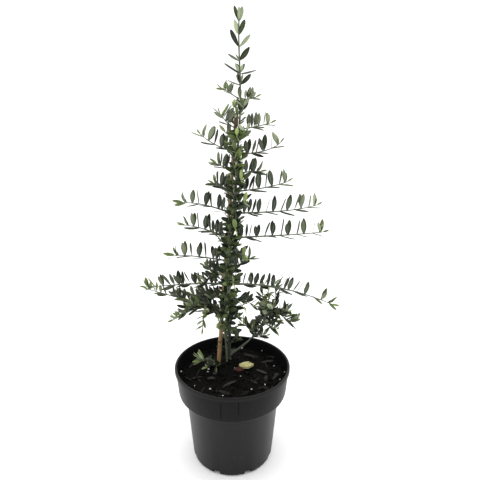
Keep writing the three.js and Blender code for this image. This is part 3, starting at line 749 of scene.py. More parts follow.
def column_leaves():
    """Leaves that sit on the trunk itself, between the spurs, with young ones at the left."""
    for index in range(COLUMN_LEAVES):
        share = index / COLUMN_LEAVES
        height = between(COLUMN_FOOT, COLUMN_TOP, share)
        out = heading(index * GOLDEN_ANGLE + 70)
        axis, face = climbing(out, UP, 12 + spread(index * 2.9, 45))
        length = between(*COLUMN_LEAF, share) * (1 + spread(index * 1.3, LENGTH_SPREAD))
        young = axis.x < 0 and share > 0.3 and chance(index * 7.9) > 0.4
        # The spurs' tone makes these leaves paler: painted light on the crowded column
        yield Leaf(
            trunk_at(height) + out * (trunk_radius(height) * 0.5), axis,
            swing(face, axis.cross(face), spread(index * 5.7, 75)), length,
            length * LEAF_SLENDER * 1.25, spread(index * 3.3, CURL_SPREAD), COLUMN_SEEDS + index,
            0.75 if young else 0.1 * share, SPUR_HABIT["tone"])


def sweep(number, reach):
    return spread(number * SWEEP_SEEDS + SWEEP_DRAW, SWEEP) * reach


def swept_curve(foot, azimuth, reach, rise, leave, arrive, aside):
    """Four curve points from a foot along a heading, with its slopes and a slight sideways sweep."""
    out, side = heading(azimuth), heading(azimuth + 90)
    handle = math.hypot(reach, rise) / 3
    end = foot + out * reach + UP * rise
    return (
        foot,
        foot + swing(out, UP, leave) * handle,
        end - swing(out, UP, arrive) * handle + side * aside,
        end + side * (aside * 2),
    )


def trunk_shoots(rows, first_number, habit):
    """Shoots that start at the bark of the trunk, greener near its top."""
    for number, row in enumerate(rows, first_number):
        name, height, azimuth, reach, rise, leave, arrive, pairs, leaf, tip = row
        radius = min(STEM_RADIUS + reach / STEM_GROWTH, trunk_radius(height) * STEM_SHARE)
        start = trunk_radius(height) + GAP + radius * abs(math.sin(math.radians(leave)))
        points = swept_curve(
            trunk_at(height) + heading(azimuth) * start, azimuth, reach - start, rise, leave, arrive,
            sweep(number, reach))
        high = clamped((height - TOP_GREEN_FROM) / (TOP_GREEN_TO - TOP_GREEN_FROM))
        own = {
            **habit, "green": habit["green"] + TOP_GREEN * high,
            "fill_reach": OWN_FILL_REACH.get(name, habit["fill_reach"])}
        yield Shoot(name, number, points, heading(azimuth + 90), pairs, leaf, tip, radius, own)


def twigs(shoots):
    """Twigs that start on the stems of other shoots."""
    by_name = {shoot.name: shoot for shoot in shoots}
    for number, row in enumerate(TWIGS, 201):
        parent, place, azimuth, reach, rise, leave, arrive, pairs, leaf, tip = row
        points = swept_curve(
            by_name[parent].at(place), azimuth, reach, rise, leave, arrive, sweep(number, reach))
        side = heading(azimuth + 90)
        yield Shoot("twig", number, points, side, pairs, leaf, tip, STEM_RADIUS, TWIG_HABIT)


def free_shoots():
    for number, (name, points, pairs, first, leaf, tip, radius) in enumerate(FREE_SHOOTS, 81):
        ends = [Vector(point) for point in points]
        run = ends[3] - ends[0]
        side = Vector((-run.y, run.x, 0)).normalized()
        own = {
            **FREE_HABIT, "first": first, "green": OWN_GREEN.get(name, 0),
            "wide": OWN_WIDTH.get(name, FREE_HABIT["wide"])}
        yield Shoot(name, number, ends, side, pairs, leaf, tip, radius, own)


# Leaves and stems


# Three leaf forms: places along the leaf, the width at each, and then how far the margin, the middle
# and the rib rise
LEAF_FORMS = {
    "flat": (
        (0, 0.06, 0.2, 0.42, 0.64, 0.84, 0.95, 1), (0.12, 0.2, 0.64, 0.96, 1, 0.72, 0.38, 0.04),
        0.000, 0.008, -0.012),
    "keeled": (
        (0, 0.07, 0.22, 0.45, 0.66, 0.85, 0.96, 1), (0.12, 0.19, 0.7, 1, 0.94, 0.6, 0.28, 0.03),
        0.045, 0.022, -0.012),
    "rolled": (
        (0, 0.06, 0.19, 0.4, 0.62, 0.82, 0.94, 1), (0.12, 0.22, 0.58, 0.9, 1, 0.78, 0.46, 0.05),
        -0.034, 0.004, 0.002),
}


def model_leaf(name, places, widths, margin, middle, rib, thickness, materials):
    """One leaf, a unit long and a unit wide, with a stalk, a rib down its middle and two skins."""
    deselect()
    steps = len(places) - 1
    bpy.ops.mesh.primitive_grid_add(x_subdivisions=4, y_subdivisions=steps, size=1)
    leaf = bpy.context.object
    leaf.name = name
    rows = [index / steps - 0.5 for index in range(steps + 1)]
    aside = 2
    with edit_mode():
        for row, width in zip(rows, widths):
            pick(leaf, "verts", lambda v, y=row: abs(v.co.y - y) < 0.02)
            bpy.ops.transform.resize(value=(width, 1, 1), center_override=(0, 0, 0))
        # Each row goes to its place and aside, so that the next test doesn't meet it again
        for row, place in reversed(list(zip(rows, places))):
            pick(leaf, "verts", lambda v, y=row: abs(v.co.y - y) < 0.001)
            bpy.ops.transform.translate(value=(0, place + aside - row, 0))
        bpy.ops.mesh.select_all(action="SELECT")
        bpy.ops.transform.translate(value=(0, -aside, 0))
        for low, high, rise in ((0.4, 0.6, margin), (0.15, 0.35, middle), (-0.1, 0.1, rib)):
            def in_column(v, low=low, high=high):
                width = np.interp(v.co.y, places, widths)
                return low < abs(v.co.x) / width < high and 0.05 < v.co.y < 0.98
            pick(leaf, "verts", in_column)
            bpy.ops.transform.translate(value=(0, 0, rise))
        bpy.ops.mesh.select_all(action="SELECT")
        bpy.ops.mesh.remove_doubles(threshold=0.004)
    coat(leaf, *materials)
    blade = leaf.vertex_groups.new(name="blade")
    for vertex in leaf.data.vertices:
        blade.add([vertex.index], math.sin(math.pi * min(1, 0.15 + vertex.co.y * 0.8)), "REPLACE")
    add_modifier(
        leaf, "SOLIDIFY", thickness=thickness, offset=0, material_offset=1, material_offset_rim=1,
        vertex_group="blade", thickness_vertex_group=0.2)
    apply_modifiers(leaf)
    bpy.ops.object.shade_smooth()
    return leaf


class LeafPress:
    """The modelled leaves, and the copies that are set on the stems."""

    def __init__(self, thickness, materials):
        self.models, self.shapes = [], []
        for name, form in LEAF_FORMS.items():
            leaf = model_leaf(f"leaf_{name}", *form, thickness, materials)
            shape = np.empty(len(leaf.data.vertices) * 3)
            leaf.data.vertices.foreach_get("co", shape)
            self.models.append(leaf)
            self.shapes.append(shape.reshape(-1, 3))

    def copy(self, leaf):
        """A copy of one of the forms, sized, curled, twisted and set in its place."""
        form = int(chance(leaf.seed * 1.7 + 0.3) * len(self.models))
        mesh = self.models[form].data.copy()
        x, y, z = self.shapes[form].T
        axis = leaf.axis.normalized()
        across = axis.cross(leaf.face).normalized()
        face = across.cross(axis)
        twist = spread(leaf.seed * 2.3 + 9, 0.35) * y
        sway = spread(leaf.seed * 3.1 + 2, 0.05) * leaf.length * y * y
        wide, high = x * leaf.width, z * leaf.length
        sideways = wide * np.cos(twist) - high * np.sin(twist) + sway
        outward = wide * np.sin(twist) + high * np.cos(twist) + leaf.curl * y * y
        places = (
            np.array(leaf.root) + np.outer(sideways, across)
            + np.outer(y * leaf.length, axis) + np.outer(outward, face))
        mesh.vertices.foreach_set("co", (places * MM).ravel())
        # The tone attribute: a random tone, plus the painted light and shade of the leaf's shoot
        mark(
            mesh, tone=chance(leaf.seed * 0.9 + 4) + leaf.tone,
            young=clamped(leaf.young + spread(leaf.seed * 1.3, 0.1)))
        return place_copy("leaf", mesh)


def model_stem(shoot, material):
    """A tapered stem on its curve, with a small swelling at each pair of leaves."""
    deselect()
    bpy.ops.curve.primitive_bezier_curve_add()
    line = bpy.context.object.data
    a, b, c, d = (point * MM for point in shoot.points)
    first, last = line.splines[0].bezier_points
    for point in (first, last):
        point.handle_left_type = point.handle_right_type = "FREE"
    first.co, first.handle_left, first.handle_right = a, a + (a - b), b
    last.co, last.handle_left, last.handle_right = d, c, d + (d - c)
    bpy.ops.object.mode_set(mode="EDIT")
    bpy.ops.curve.select_all(action="SELECT")
    bpy.ops.curve.subdivide(number_cuts=max(4, round(shoot.length / 2.4)))
    bpy.ops.object.mode_set(mode="OBJECT")
    knots = line.splines[0].bezier_points
    for index, knot in enumerate(knots):
        t = index / (len(knots) - 1)
        pair = (t * shoot.length - shoot.first) / shoot.step
        away = (pair - round(pair)) * shoot.step
        swell = 0.35 * math.exp(-(away / 1.1) ** 2) if pair > -0.3 else 0
        collar = 0.5 * math.exp(-t * shoot.length / 2.5)
        knot.radius = between(shoot.radius, STEM_TIP_RADIUS, t) * (1 + swell + collar) * MM
    line.bevel_depth = 1
    line.bevel_resolution = 1
    line.resolution_u = 1
    line.use_fill_caps = True
    bpy.ops.object.convert(target="MESH")
    stem = bpy.context.object
    coat(stem, material)
    bpy.ops.object.shade_smooth()
    mark(stem.data, tone=chance(shoot.number * 5.1), young=0.0)
    return stem


def leaf_finish(name, old, young, rib, roughness, gloss):
    """A leaf skin: old to young by attribute, with a pale rib and side veins on its UV map."""
    finish = Finish(name, Specular_IOR_Level=gloss)
    uv = finish.node("ShaderNodeUVMap", {"uv_map": "UVMap"}, {})
    u, v = (finish.node("ShaderNodeSeparateXYZ", {}, {0: uv}, axis) for axis in "XY")
    off_rib = abs(u - 0.5)
    mottle = finish.noise(380, 4)
    colour = finish.mix(finish.attribute("young"), old, young)
    # Lighter and darker by the tone attribute: a random tone, plus painted light and shade by shoot
    colour = finish.shade(colour, 0.62 + finish.attribute("tone") * 0.5 + mottle * 0.5)
    colour = finish.mix(finish.rise(off_rib, 0.36, 0.5) * 0.25, colour, young)
    rib_mask = (1 - finish.rise(off_rib, 0.0, 0.07)) * (1 - finish.rise(v, 0.55, 1.0)) * 0.8
    colour = finish.mix(rib_mask, colour, rib)
    veins = finish.node("ShaderNodeMath", {"operation": "SINE"}, {0: (v + off_rib * 0.5) * 56.0})
    finish.bump(veins * 0.25 + mottle - rib_mask, 0.00025, 0.5)
    return finish.set(Base_Color=colour, Roughness=roughness - 0.08 + mottle * 0.16)


def foliage_finishes(settings):
    """The finishes of a leaf's upper side, of its underside and of the thin stems."""
    top = leaf_finish(
        "olive_leaf_top", settings.top, settings.young_top, (0.12, 0.17, 0.07), 0.42, 0.24)
    under = leaf_finish(
        "olive_leaf_under", settings.under, settings.young_under, (0.3, 0.34, 0.2), 0.7, 0.2)
    stem = Finish("olive_stem", Specular_IOR_Level=0.3)
    fibre = stem.noise(900, 3, (1, 1, 0.3))
    green = stem.mix(stem.curve(fibre, (0.3, 0), (0.7, 1)), settings.stem, (0.055, 0.07, 0.04))
    stem.bump(fibre, 0.0002, 0.6)
    return top, under, stem.set(Base_Color=green, Roughness=0.6 + fibre * 0.2)


# Operators


class OLIVE_OT_pot(bpy.types.Operator):
    """Turn the nursery pot with its collar, rim and drainage openings"""

    bl_idname = "olive.pot"
    bl_label = "Nursery pot"

    # Radius and height up the outside, with the rounding of each corner, and down the inside
    OUTSIDE = (
        (FOOT_RADIUS - 4.2, 0), (FOOT_RADIUS - 2.4, 0.35), (FOOT_RADIUS - 0.9, 1.5),
        (FOOT_RADIUS - 0.15, 3.2), (FOOT_RADIUS + 0.35, 6), (BODY_TOP_RADIUS - 0.1, COLLAR_FOOT - 10),
        (BODY_TOP_RADIUS + 0.4, COLLAR_FOOT - 8.4), (BODY_TOP_RADIUS + 1.6, COLLAR_FOOT - 7.2),
        (COLLAR_FOOT_RADIUS - 1.2, COLLAR_FOOT - 0.4), (COLLAR_FOOT_RADIUS - 0.7, COLLAR_FOOT + 0.5),
        (COLLAR_FOOT_RADIUS - 0.4, COLLAR_FOOT + 1.6), (COLLAR_FOOT_RADIUS, COLLAR_FOOT + 3.4),
        (RIM_RADIUS - 1.6, POT_HEIGHT - RIM_LIP - 0.2), (RIM_RADIUS - 0.9, POT_HEIGHT - RIM_LIP + 0.3),
        (RIM_RADIUS, POT_HEIGHT - RIM_LIP + 0.9), (RIM_RADIUS, POT_HEIGHT - 1.1),
        (RIM_RADIUS - 0.45, POT_HEIGHT - 0.25), (RIM_RADIUS - 1.1, POT_HEIGHT),
    )
    INSIDE = (
        (RIM_RADIUS - WALL - 0.6, POT_HEIGHT), (RIM_RADIUS - WALL - 1.3, POT_HEIGHT - 0.4),
        (RIM_RADIUS - WALL - 1.8, POT_HEIGHT - RIM_LIP), (COLLAR_FOOT_RADIUS - WALL, COLLAR_FOOT + 2),
        (BODY_TOP_RADIUS - WALL, COLLAR_FOOT - 8), (FOOT_RADIUS - WALL, WALL + 2),
        (FOOT_RADIUS - WALL - 2, WALL),
    )
    # Faint upright marks on the front of the collar: place across, foot and top, in metres
    COLLAR_MARKS = ((-0.0138, 0.112, 0.137), (0.0092, 0.120, 0.141))

    def execute(self, context):
        settings = context.scene.olive_pot
        pot = turned("pot_shell", settings.sides, self.OUTSIDE + self.INSIDE)
        for index in range(DRAIN_HOLES):
            self.cut_drain(pot, (index + 0.5) * 2 * math.pi / DRAIN_HOLES)
        smooth(pot, 35)
        # The collar's copy of the plastic is less glossy, as painted shade: it stands in for the
        # shadowed floor that the collar reflects
        coat(
            pot, self.plastic("nursery_pot_plastic", 0.17, settings),
            self.plastic("nursery_pot_collar", 0.08, settings))
        # The collar's faces take the less glossy copy, with its painted shade
        for face in pot.data.polygons:
            if COLLAR_FOOT * MM < face.center.z < (POT_HEIGHT - RIM_LIP) * MM:
                face.material_index = 1
        dress(pot, "pot_plastic", "pot")
        return {"FINISHED"}

    @staticmethod
    def cut_drain(pot, angle):
        deselect()
        bpy.ops.mesh.primitive_cube_add(size=MM)
        cutter = bpy.context.object
        with edit_mode():
            bpy.ops.transform.resize(value=DRAIN_SIZE, center_override=(0, 0, 0))
            pick(cutter, "edges", lambda e: abs(e.verts[0].co.x - e.verts[1].co.x) > MM)
            bpy.ops.mesh.bevel(offset=DRAIN_ROUNDING * MM, segments=3)
        cutter.data.transform(
            Matrix.Rotation(angle, 4, "Z") @ Matrix.Translation((FOOT_RADIUS * MM, 0, 0)))
        add_modifier(pot, "BOOLEAN", object=cutter, operation="DIFFERENCE", solver="EXACT")
        apply_modifiers(pot)
        discard([cutter])

    def plastic(self, name, gloss, settings):
        finish = Finish(name, Specular_IOR_Level=gloss)
        streaks = finish.noise(70, 4, (1, 1, 0.05))
        grain = finish.noise(1500, 2)
        scuffs = finish.noise(160, 5, (1, 1, 0.6), 0.65)
        low = 1 - finish.rise(finish.axis("Z"), 0.0, 0.05)
        dusty = finish.rise(scuffs, 0.57, 0.75) * (0.15 + 0.5 * low)
        marks = sum(self.collar_mark(finish, *place) for place in self.COLLAR_MARKS)
        colour = finish.shade(settings.plastic, 0.75 + streaks * 0.5)
        colour = finish.mix(dusty * 0.35, colour, settings.dust)
        colour = finish.shade(colour, 1 - marks * 0.8)
        finish.bump(grain * 0.3 + streaks - marks * 2, 0.0002, 0.35)
        return finish.set(
            Base_Color=colour, Roughness=0.33 + streaks * 0.1 + dusty * 0.25 + marks * 0.3)

    @staticmethod
    def collar_mark(finish, across, low, high):
        """Where one mark is: a thin upright line that fades at its ends, on the front alone."""
        fade = 0.003
        x, y, z = (finish.axis(name) for name in "XYZ")
        line = 1 - finish.rise(abs(x - across), 0.0003, 0.0011)
        length = finish.rise(z, low - fade, low) * (1 - finish.rise(z, high - fade, high))
        return line * length * (1 - finish.rise(y, -0.01, 0.0))


class OLIVE_OT_soil(bpy.types.Operator):
    """Fill the pot with potting mix and scatter loose crumbs and bark bits over it"""

    bl_idname = "olive.soil"
    bl_label = "Potting mix"

    SIDES, RINGS = 160, 58
    # White grains: place and size
    WHITE_GRAINS = (
        (14, 69, 1.5), (46, 63, 0.9), (-40, 19, 1.1), (-35, 9, 1.3), (3, 9, 1.0), (76, 4, 0.9),
        (68, -15, 0.8), (-30, -37, 1.2), (46, -27, 1.0), (27, -38, 1.0), (-12, -52, 0.8),
        (-75, 5, 1.4), (-36, 3, 0.9), (62, 20, 0.8), (-52, -30, 0.7), (12, -8, 0.7),
    )
    # Large bark bits: place, turn, length, width, paleness
    FLAKES = (
        (-4, -25, 20, 13, 4.5, 0.45), (42, 5, -30, 11, 3.5, 0.6), (53, 32, 10, 12, 3, 0.35),
        (-25, 0, 70, 7, 4, 0.5), (-29, -12, 30, 8, 4, 0.4), (28, 45, 0, 16, 3, 0.3),
        (62, -6, 55, 9, 3, 0.4), (30, -20, -50, 9, 2.5, 0.35), (-50, -10, 15, 9, 3, 0.2),
        (48, -12, 80, 7, 3, 0.3), (-10, -45, -15, 10, 3, 0.2), (-62, 20, 60, 8, 3, 0.2),
        (60, 45, -40, 9, 3, 0.25), (-20, 60, 10, 9, 3, 0.15), (20, -58, 35, 8, 3, 0.25),
    )
    SMALL_FLAKES = 56
    # How far from the pot's middle the crumbs and the small bark bits lie
    CRUMB_REACH, FLAKE_REACH = 78, 76

    def execute(self, context):
        settings = context.scene.olive_soil
        mix = self.peat(settings)
        soil = self.bed(settings)
        coat(soil, mix)
        mark(soil.data, tone=0.15)
        dress(soil, "soil", "soil")
        loose = (
            (self.crumbs(settings), mix), (self.flakes(), self.bark(settings)),
            (self.grains(), self.grain()))
        for piece, finish in loose:
            coat(piece, finish)
            dress(piece, "soil")
        return {"FINISHED"}

    @staticmethod
    def level(x, y):
        """Height of the soil at a place."""
        foot = trunk_at(SOIL_LEVEL)
        away = math.hypot(x - foot.x, y - foot.y) / MOUND_SPREAD
        return SOIL_LEVEL + MOUND_RISE * math.exp(-away * away / 2)

    def bed(self, settings):
        """The filling of the pot, with a lumpy surface that rises to a low mound at the trunk."""
        edge = between(COLLAR_FOOT_RADIUS - WALL, RIM_RADIUS - WALL - 1.8, 0.57)
        profile = [
            (FOOT_RADIUS - WALL - 3, WALL + 0.5), (BODY_TOP_RADIUS - WALL - 0.4, COLLAR_FOOT - 8),
            (COLLAR_FOOT_RADIUS - WALL - 0.4, COLLAR_FOOT + 2), (edge, SOIL_LEVEL - 3)]
        for ring in range(self.RINGS + 1):
            profile.append((between(edge + 0.6, 1, ring / self.RINGS), SOIL_LEVEL))
        soil = turned("soil_bed", self.SIDES, profile)
        surface = [v.index for v in soil.data.vertices if v.co.z > (SOIL_LEVEL - 1) * MM]
        soil.vertex_groups.new(name="surface").add(surface, 1, "REPLACE")
        add_modifier(soil, "SUBSURF", subdivision_type="SIMPLE", levels=1, render_levels=1)
        displace(soil, "soil_lumps", 0.012, settings.relief * 1.6, "surface")
        displace(soil, "soil_crumbs", 0.0035, settings.relief, "surface")
        apply_modifiers(soil)
        for vertex in soil.data.vertices:
            if vertex.co.z > (SOIL_LEVEL - 2.6) * MM:
                mound = self.level(vertex.co.x / MM, vertex.co.y / MM) - SOIL_LEVEL
                vertex.co.z += mound * MM
        smooth(soil, 60)
        return soil

    @staticmethod
    def lump(seed, flat):
        """A rounded crumb a millimetre across, of a few faces, pushed out of shape."""
        deselect()
        bpy.ops.mesh.primitive_cube_add(size=1)
        piece = bpy.context.object
        with edit_mode():
            bpy.ops.mesh.subdivide(number_cuts=1, smoothness=0.9)
        for index, vertex in enumerate(piece.data.vertices):
            push = [1 + spread(seed * 31 + index * 3 + k, 0.28) for k in range(3)]
            vertex.co = Vector(v * p * s for v, p, s in zip(vertex.co, push, (MM, MM, MM * flat)))
        return piece

    @staticmethod
    def scatter(name, models, places):
        """Copies of the models, each moved, turned and sized in its own mesh, as one piece."""
        copies = []
        for index, (place, turn, scale, tone) in enumerate(places):
            mesh = models[index % len(models)].data.copy()
            mesh.transform(
                Matrix.Translation(place) @ turn.to_matrix().to_4x4() @ Matrix.Diagonal((*scale, 1)))
            mark(mesh, tone=tone)
            copies.append(place_copy(name, mesh))
        discard(models)
        joined = join(name, copies)
        smooth(joined, 50)
        return joined

    @staticmethod
    def spot(reach, out_seed, round_seed):
        """A random place on the soil."""
        radius, angle = reach * math.sqrt(chance(out_seed)), 2 * math.pi * chance(round_seed)
        return radius * math.cos(angle), radius * math.sin(angle)

    def resting(self, x, y, lift):
        return Vector((x, y, self.level(x, y) + lift)) * MM

    @staticmethod
    def lying(turn, seesaw, roll):
        """A turn about the upright, after a slight tilt both ways, in radians."""
        tilt = Quaternion((0, 1, 0), seesaw) @ Quaternion((1, 0, 0), roll)
        return Quaternion((0, 0, 1), turn) @ tilt

    def crumbs(self, settings):
        models = [self.lump(seed, 0.8) for seed in range(1, 7)]
        places = []
        for i in range(settings.crumbs):
            x, y = self.spot(self.CRUMB_REACH, i * 1.31 + 7, i * 2.77 + 3)
            size = 0.9 + 2.6 * chance(i * 3.3 + 1) ** 3
            turn = Quaternion((chance(i), spread(i + 0.3, 1), spread(i + 0.5, 1), spread(i + 0.7, 1)))
            tone = chance(i * 0.7 + 2) ** 2
            places.append((
                self.resting(x, y, spread(i * 1.9, 0.8) + size * 0.2), turn.normalized(),
                (size, size * between(0.6, 1, tone), size), tone))
        return self.scatter("soil_crumbs", models, places)

    def flakes(self):
        models = [self.lump(seed, 1) for seed in range(11, 15)]
        places = []
        for i, (x, y, turn, length, width, tone) in enumerate(self.FLAKES):
            lying = self.lying(math.radians(turn), spread(i * 3.7, 0.25), spread(i * 4.1, 0.3))
            places.append((self.resting(x, y, 1.2), lying, (length, width, 1.3), tone))
        for i in range(self.SMALL_FLAKES):
            x, y = self.spot(self.FLAKE_REACH, i * 5.3 + 9, i * 6.1 + 4)
            lying = self.lying(math.pi * chance(i * 9.1), spread(i * 7.7, 0.5), spread(i * 8.1, 0.6))
            length = between(3, 9, chance(i * 1.1 + 6) ** 2)
            size = (length, length * 0.35, 0.9)
            places.append((self.resting(x, y, 0.6), lying, size, 0.16 * chance(i * 2.2)))
        return self.scatter("soil_bark_bits", models, places)

    def grains(self):
        models = [self.lump(seed, 0.9) for seed in (21, 22, 23)]
        places = []
        for i, (x, y, size) in enumerate(self.WHITE_GRAINS):
            scale = (size * 1.5, size * 1.3, size * 1.3)
            places.append((self.resting(x, y, 1.3), Quaternion((0, 0, 1), i), scale, 1.0))
        return self.scatter("soil_white_grains", models, places)

    @staticmethod
    def peat(settings):
        finish = Finish("potting_mix", Specular_IOR_Level=0.08)
        lumps, fine = finish.noise(190, 4), finish.noise(1300, 3)
        share = finish.curve(lumps, (0.42, 0), (0.72, 1)) * 0.5 + finish.attribute("tone") * 0.7
        colour = finish.mix(share * fine, settings.peat, settings.bark)
        finish.bump(fine + lumps * 0.5, 0.0006, 0.8)
        return finish.set(Base_Color=colour, Roughness=0.72 + lumps * 0.25)

    @staticmethod
    def bark(settings):
        finish = Finish("bark_bits", Specular_IOR_Level=0.15)
        fibre = finish.noise(500, 4, (1, 1, 1), 0.6)
        colour = finish.mix(finish.attribute("tone"), settings.bark, (0.05, 0.046, 0.04))
        finish.bump(fibre, 0.0004, 0.7)
        return finish.set(
            Base_Color=finish.shade(colour, 0.4 + fibre * 1.2), Roughness=0.6 + fibre * 0.3)

    @staticmethod
    def grain():
        finish = Finish("white_grain", Specular_IOR_Level=0.3)
        pores = finish.noise(1600, 2)
        finish.bump(pores, 0.0002, 0.6)
        return finish.set(
            Base_Color=finish.shade((0.52, 0.51, 0.47), 0.6 + pores * 0.7), Roughness=0.7 + pores * 0.2)


class OLIVE_OT_wood_chips(bpy.types.Operator):
    """Lay the cream wood chip and the brown bark chip on the soil"""

    bl_idname = "olive.wood_chips"
    bl_label = "Wood chips"

    # Piece, node, slot, place, turn, tilt both ways, thickness, outline, pale and dark colour
    CHIPS = (
        ("chip_cream", "wood_chip_pale", "chip_pale", (20.5, 17, 131.6), 6, (-7, 5), 3.4,
         ((-11.5, 0), (-3.5, 7), (4, 10), (11.5, 1), (1.5, -9.5), (-7.5, -8)),
         (0.54, 0.52, 0.27), (0.30, 0.26, 0.08)),
        ("chip_brown", "wood_chip_brown", "chip_brown", (9, 6, 131.2), -18, (5, -6), 3,
         ((-8, -3), (-4, 4), (5, 4.5), (8, 0), (3, -5)),
         (0.05, 0.016, 0.009), (0.014, 0.006, 0.004)),
    )
    BEVEL, SHOULDER = 0.3, 1.2
    # The dark hole in the cream chip: from the chip's place, and its inner and outer edge in metres
    HOLE, HOLE_EDGE = Vector((4.6, 5.2, 1.8)), (0.0012, 0.0026)

    def execute(self, context):
        for name, node, slot, place, turn, tilt, depth, outline, pale, dark in self.CHIPS:
            chip = self.cut(name, outline, depth)
            set_down = Matrix.Translation(Vector(place) * MM)
            for angle, axis in ((turn, "Z"), (tilt[1], "Y"), (tilt[0], "X")):
                set_down = set_down @ Matrix.Rotation(math.radians(angle), 4, axis)
            chip.data.transform(set_down)
            smooth(chip, 35)
            coat(chip, self.wood(name, pale, dark, place))
            dress(chip, slot, node)
        return {"FINISHED"}

    def cut(self, name, outline, depth):
        """A flat chip: its outline filled, extruded, bevelled and roughened."""
        deselect()
        bpy.ops.mesh.primitive_circle_add(vertices=len(outline), radius=1, fill_type="NGON")
        chip = bpy.context.object
        chip.name = name
        for vertex, (x, y) in zip(chip.data.vertices, reversed(outline)):
            vertex.co = (x * MM, y * MM, -depth / 2 * MM)
        with edit_mode():
            bpy.ops.mesh.extrude_region_move(TRANSFORM_OT_translate={"value": (0, 0, depth * MM)})
            bpy.ops.mesh.inset(thickness=self.SHOULDER * MM, depth=0)
            face_outwards()
        add_modifier(chip, "BEVEL", width=self.BEVEL * MM, segments=1, limit_method="ANGLE")
        apply_modifiers(chip)
        with edit_mode():
            bpy.ops.mesh.quads_convert_to_tris()
            bpy.ops.mesh.subdivide(number_cuts=3)
        displace(chip, name + "_lumps", 0.005, 0.35 * MM)
        displace(chip, name + "_fibres", 0.0012, 0.3 * MM)
        apply_modifiers(chip)
        return chip

    def wood(self, name, pale, dark, place):
        finish = Finish(name + "_wood", Specular_IOR_Level=0.2)
        fibre = finish.noise(420, 5, (0.16, 1, 1), 0.65, (0, 0, 0.25))
        blotch = finish.noise(170, 3)
        colour = finish.mix(finish.curve(fibre, (0.38, 0), (0.75, 1)) * 0.6, pale, dark)
        colour = finish.mix(finish.curve(blotch, (0.5, 0), (0.64, 1)) * 0.75, colour, dark)
        if name == "chip_cream":
            hole = (Vector(place) + self.HOLE) * MM
            away = finish.node(
                "ShaderNodeVectorMath", {"operation": "DISTANCE"}, {0: finish.place, 1: hole}, "Value")
            colour = finish.mix(1 - finish.rise(away, *self.HOLE_EDGE), colour, (0.012, 0.009, 0.007))
        finish.bump(fibre, 0.0004, 0.8)
        return finish.set(Base_Color=colour, Roughness=0.75 + fibre * 0.2)


class OLIVE_OT_cane(bpy.types.Operator):
    """Turn the bamboo cane with its knots and set it beside the trunk"""

    bl_idname = "olive.cane"
    bl_label = "Bamboo cane"

    SIDES = 28
    # Distance from a knot and swelling of the skin there
    KNOT = ((-9, 0), (-3, 0.02), (-1.4, 0.16), (-0.5, 0.42), (0.1, 0.45), (0.5, 0.12), (0.9, -0.08),
            (1.5, 0.2), (2.6, 0.12), (6, 0))

    def execute(self, context):
        run = CANE_TOP - CANE_FOOT
        profile = [(0.4, 0), (CANE_FOOT_RADIUS, 0.3)]
        for knot in CANE_KNOTS:
            radius = between(CANE_FOOT_RADIUS, CANE_TOP_RADIUS, knot)
            profile += [(radius + swell, knot * run.length + away) for away, swell in self.KNOT]
        # The sawn top, with its hollow
        for narrower, lower in ((0, 0.4), (0.35, 0), (0.9, 0), (1.0, 1.6), (CANE_TOP_RADIUS - 0.4, 1.8)):
            profile.append((CANE_TOP_RADIUS - narrower, run.length - lower))
        cane = turned("bamboo_cane", self.SIDES, profile)
        turn = UP.rotation_difference(run.normalized())
        cane.data.transform(Matrix.Translation(CANE_FOOT * MM) @ turn.to_matrix().to_4x4())
        smooth(cane, 50)
        coat(cane, self.bamboo(context.scene.olive_cane))
        dress(cane, "bamboo", "bamboo_stake")
        return {"FINISHED"}

    @staticmethod
    def bamboo(settings):
        finish = Finish("bamboo_skin", Specular_IOR_Level=0.4)
        fibre = finish.noise(900, 4, (1, 1, 0.03))
        blotch = finish.noise(120, 4, (1, 1, 0.35))
        z = finish.axis("Z")
        share = (z - CANE_FOOT.z * MM) / ((CANE_TOP.z - CANE_FOOT.z) * MM)
        rings = sum(1 - finish.rise(abs(share - knot - 0.002), 0.0, 0.0075) for knot in CANE_KNOTS)
        top = finish.rise(share + blotch * 0.02, 0.955, 0.975)
        foot = 1 - finish.rise(share + blotch * 0.05, 0.12, 0.19)
        stains = finish.curve(blotch, (0.58, 0), (0.8, 1)) * 0.5
        dark = finish.node("ShaderNodeClamp", {}, {0: rings * 0.75 + top * 0.92 + stains + foot * 0.3})
        streaks = finish.curve(fibre, (0.35, 0), (0.7, 1)) * 0.45
        colour = finish.mix(streaks, settings.skin, (0.25, 0.13, 0.05))
        colour = finish.mix(finish.rise(z, 0.15, 0.28) * 0.7, colour, (0.15, 0.125, 0.08))
        colour = finish.mix(dark, colour, settings.stain)
        finish.bump(fibre, 0.00025, 0.5)
        return finish.set(Base_Color=colour, Roughness=0.42 + fibre * 0.2 + dark * 0.2)


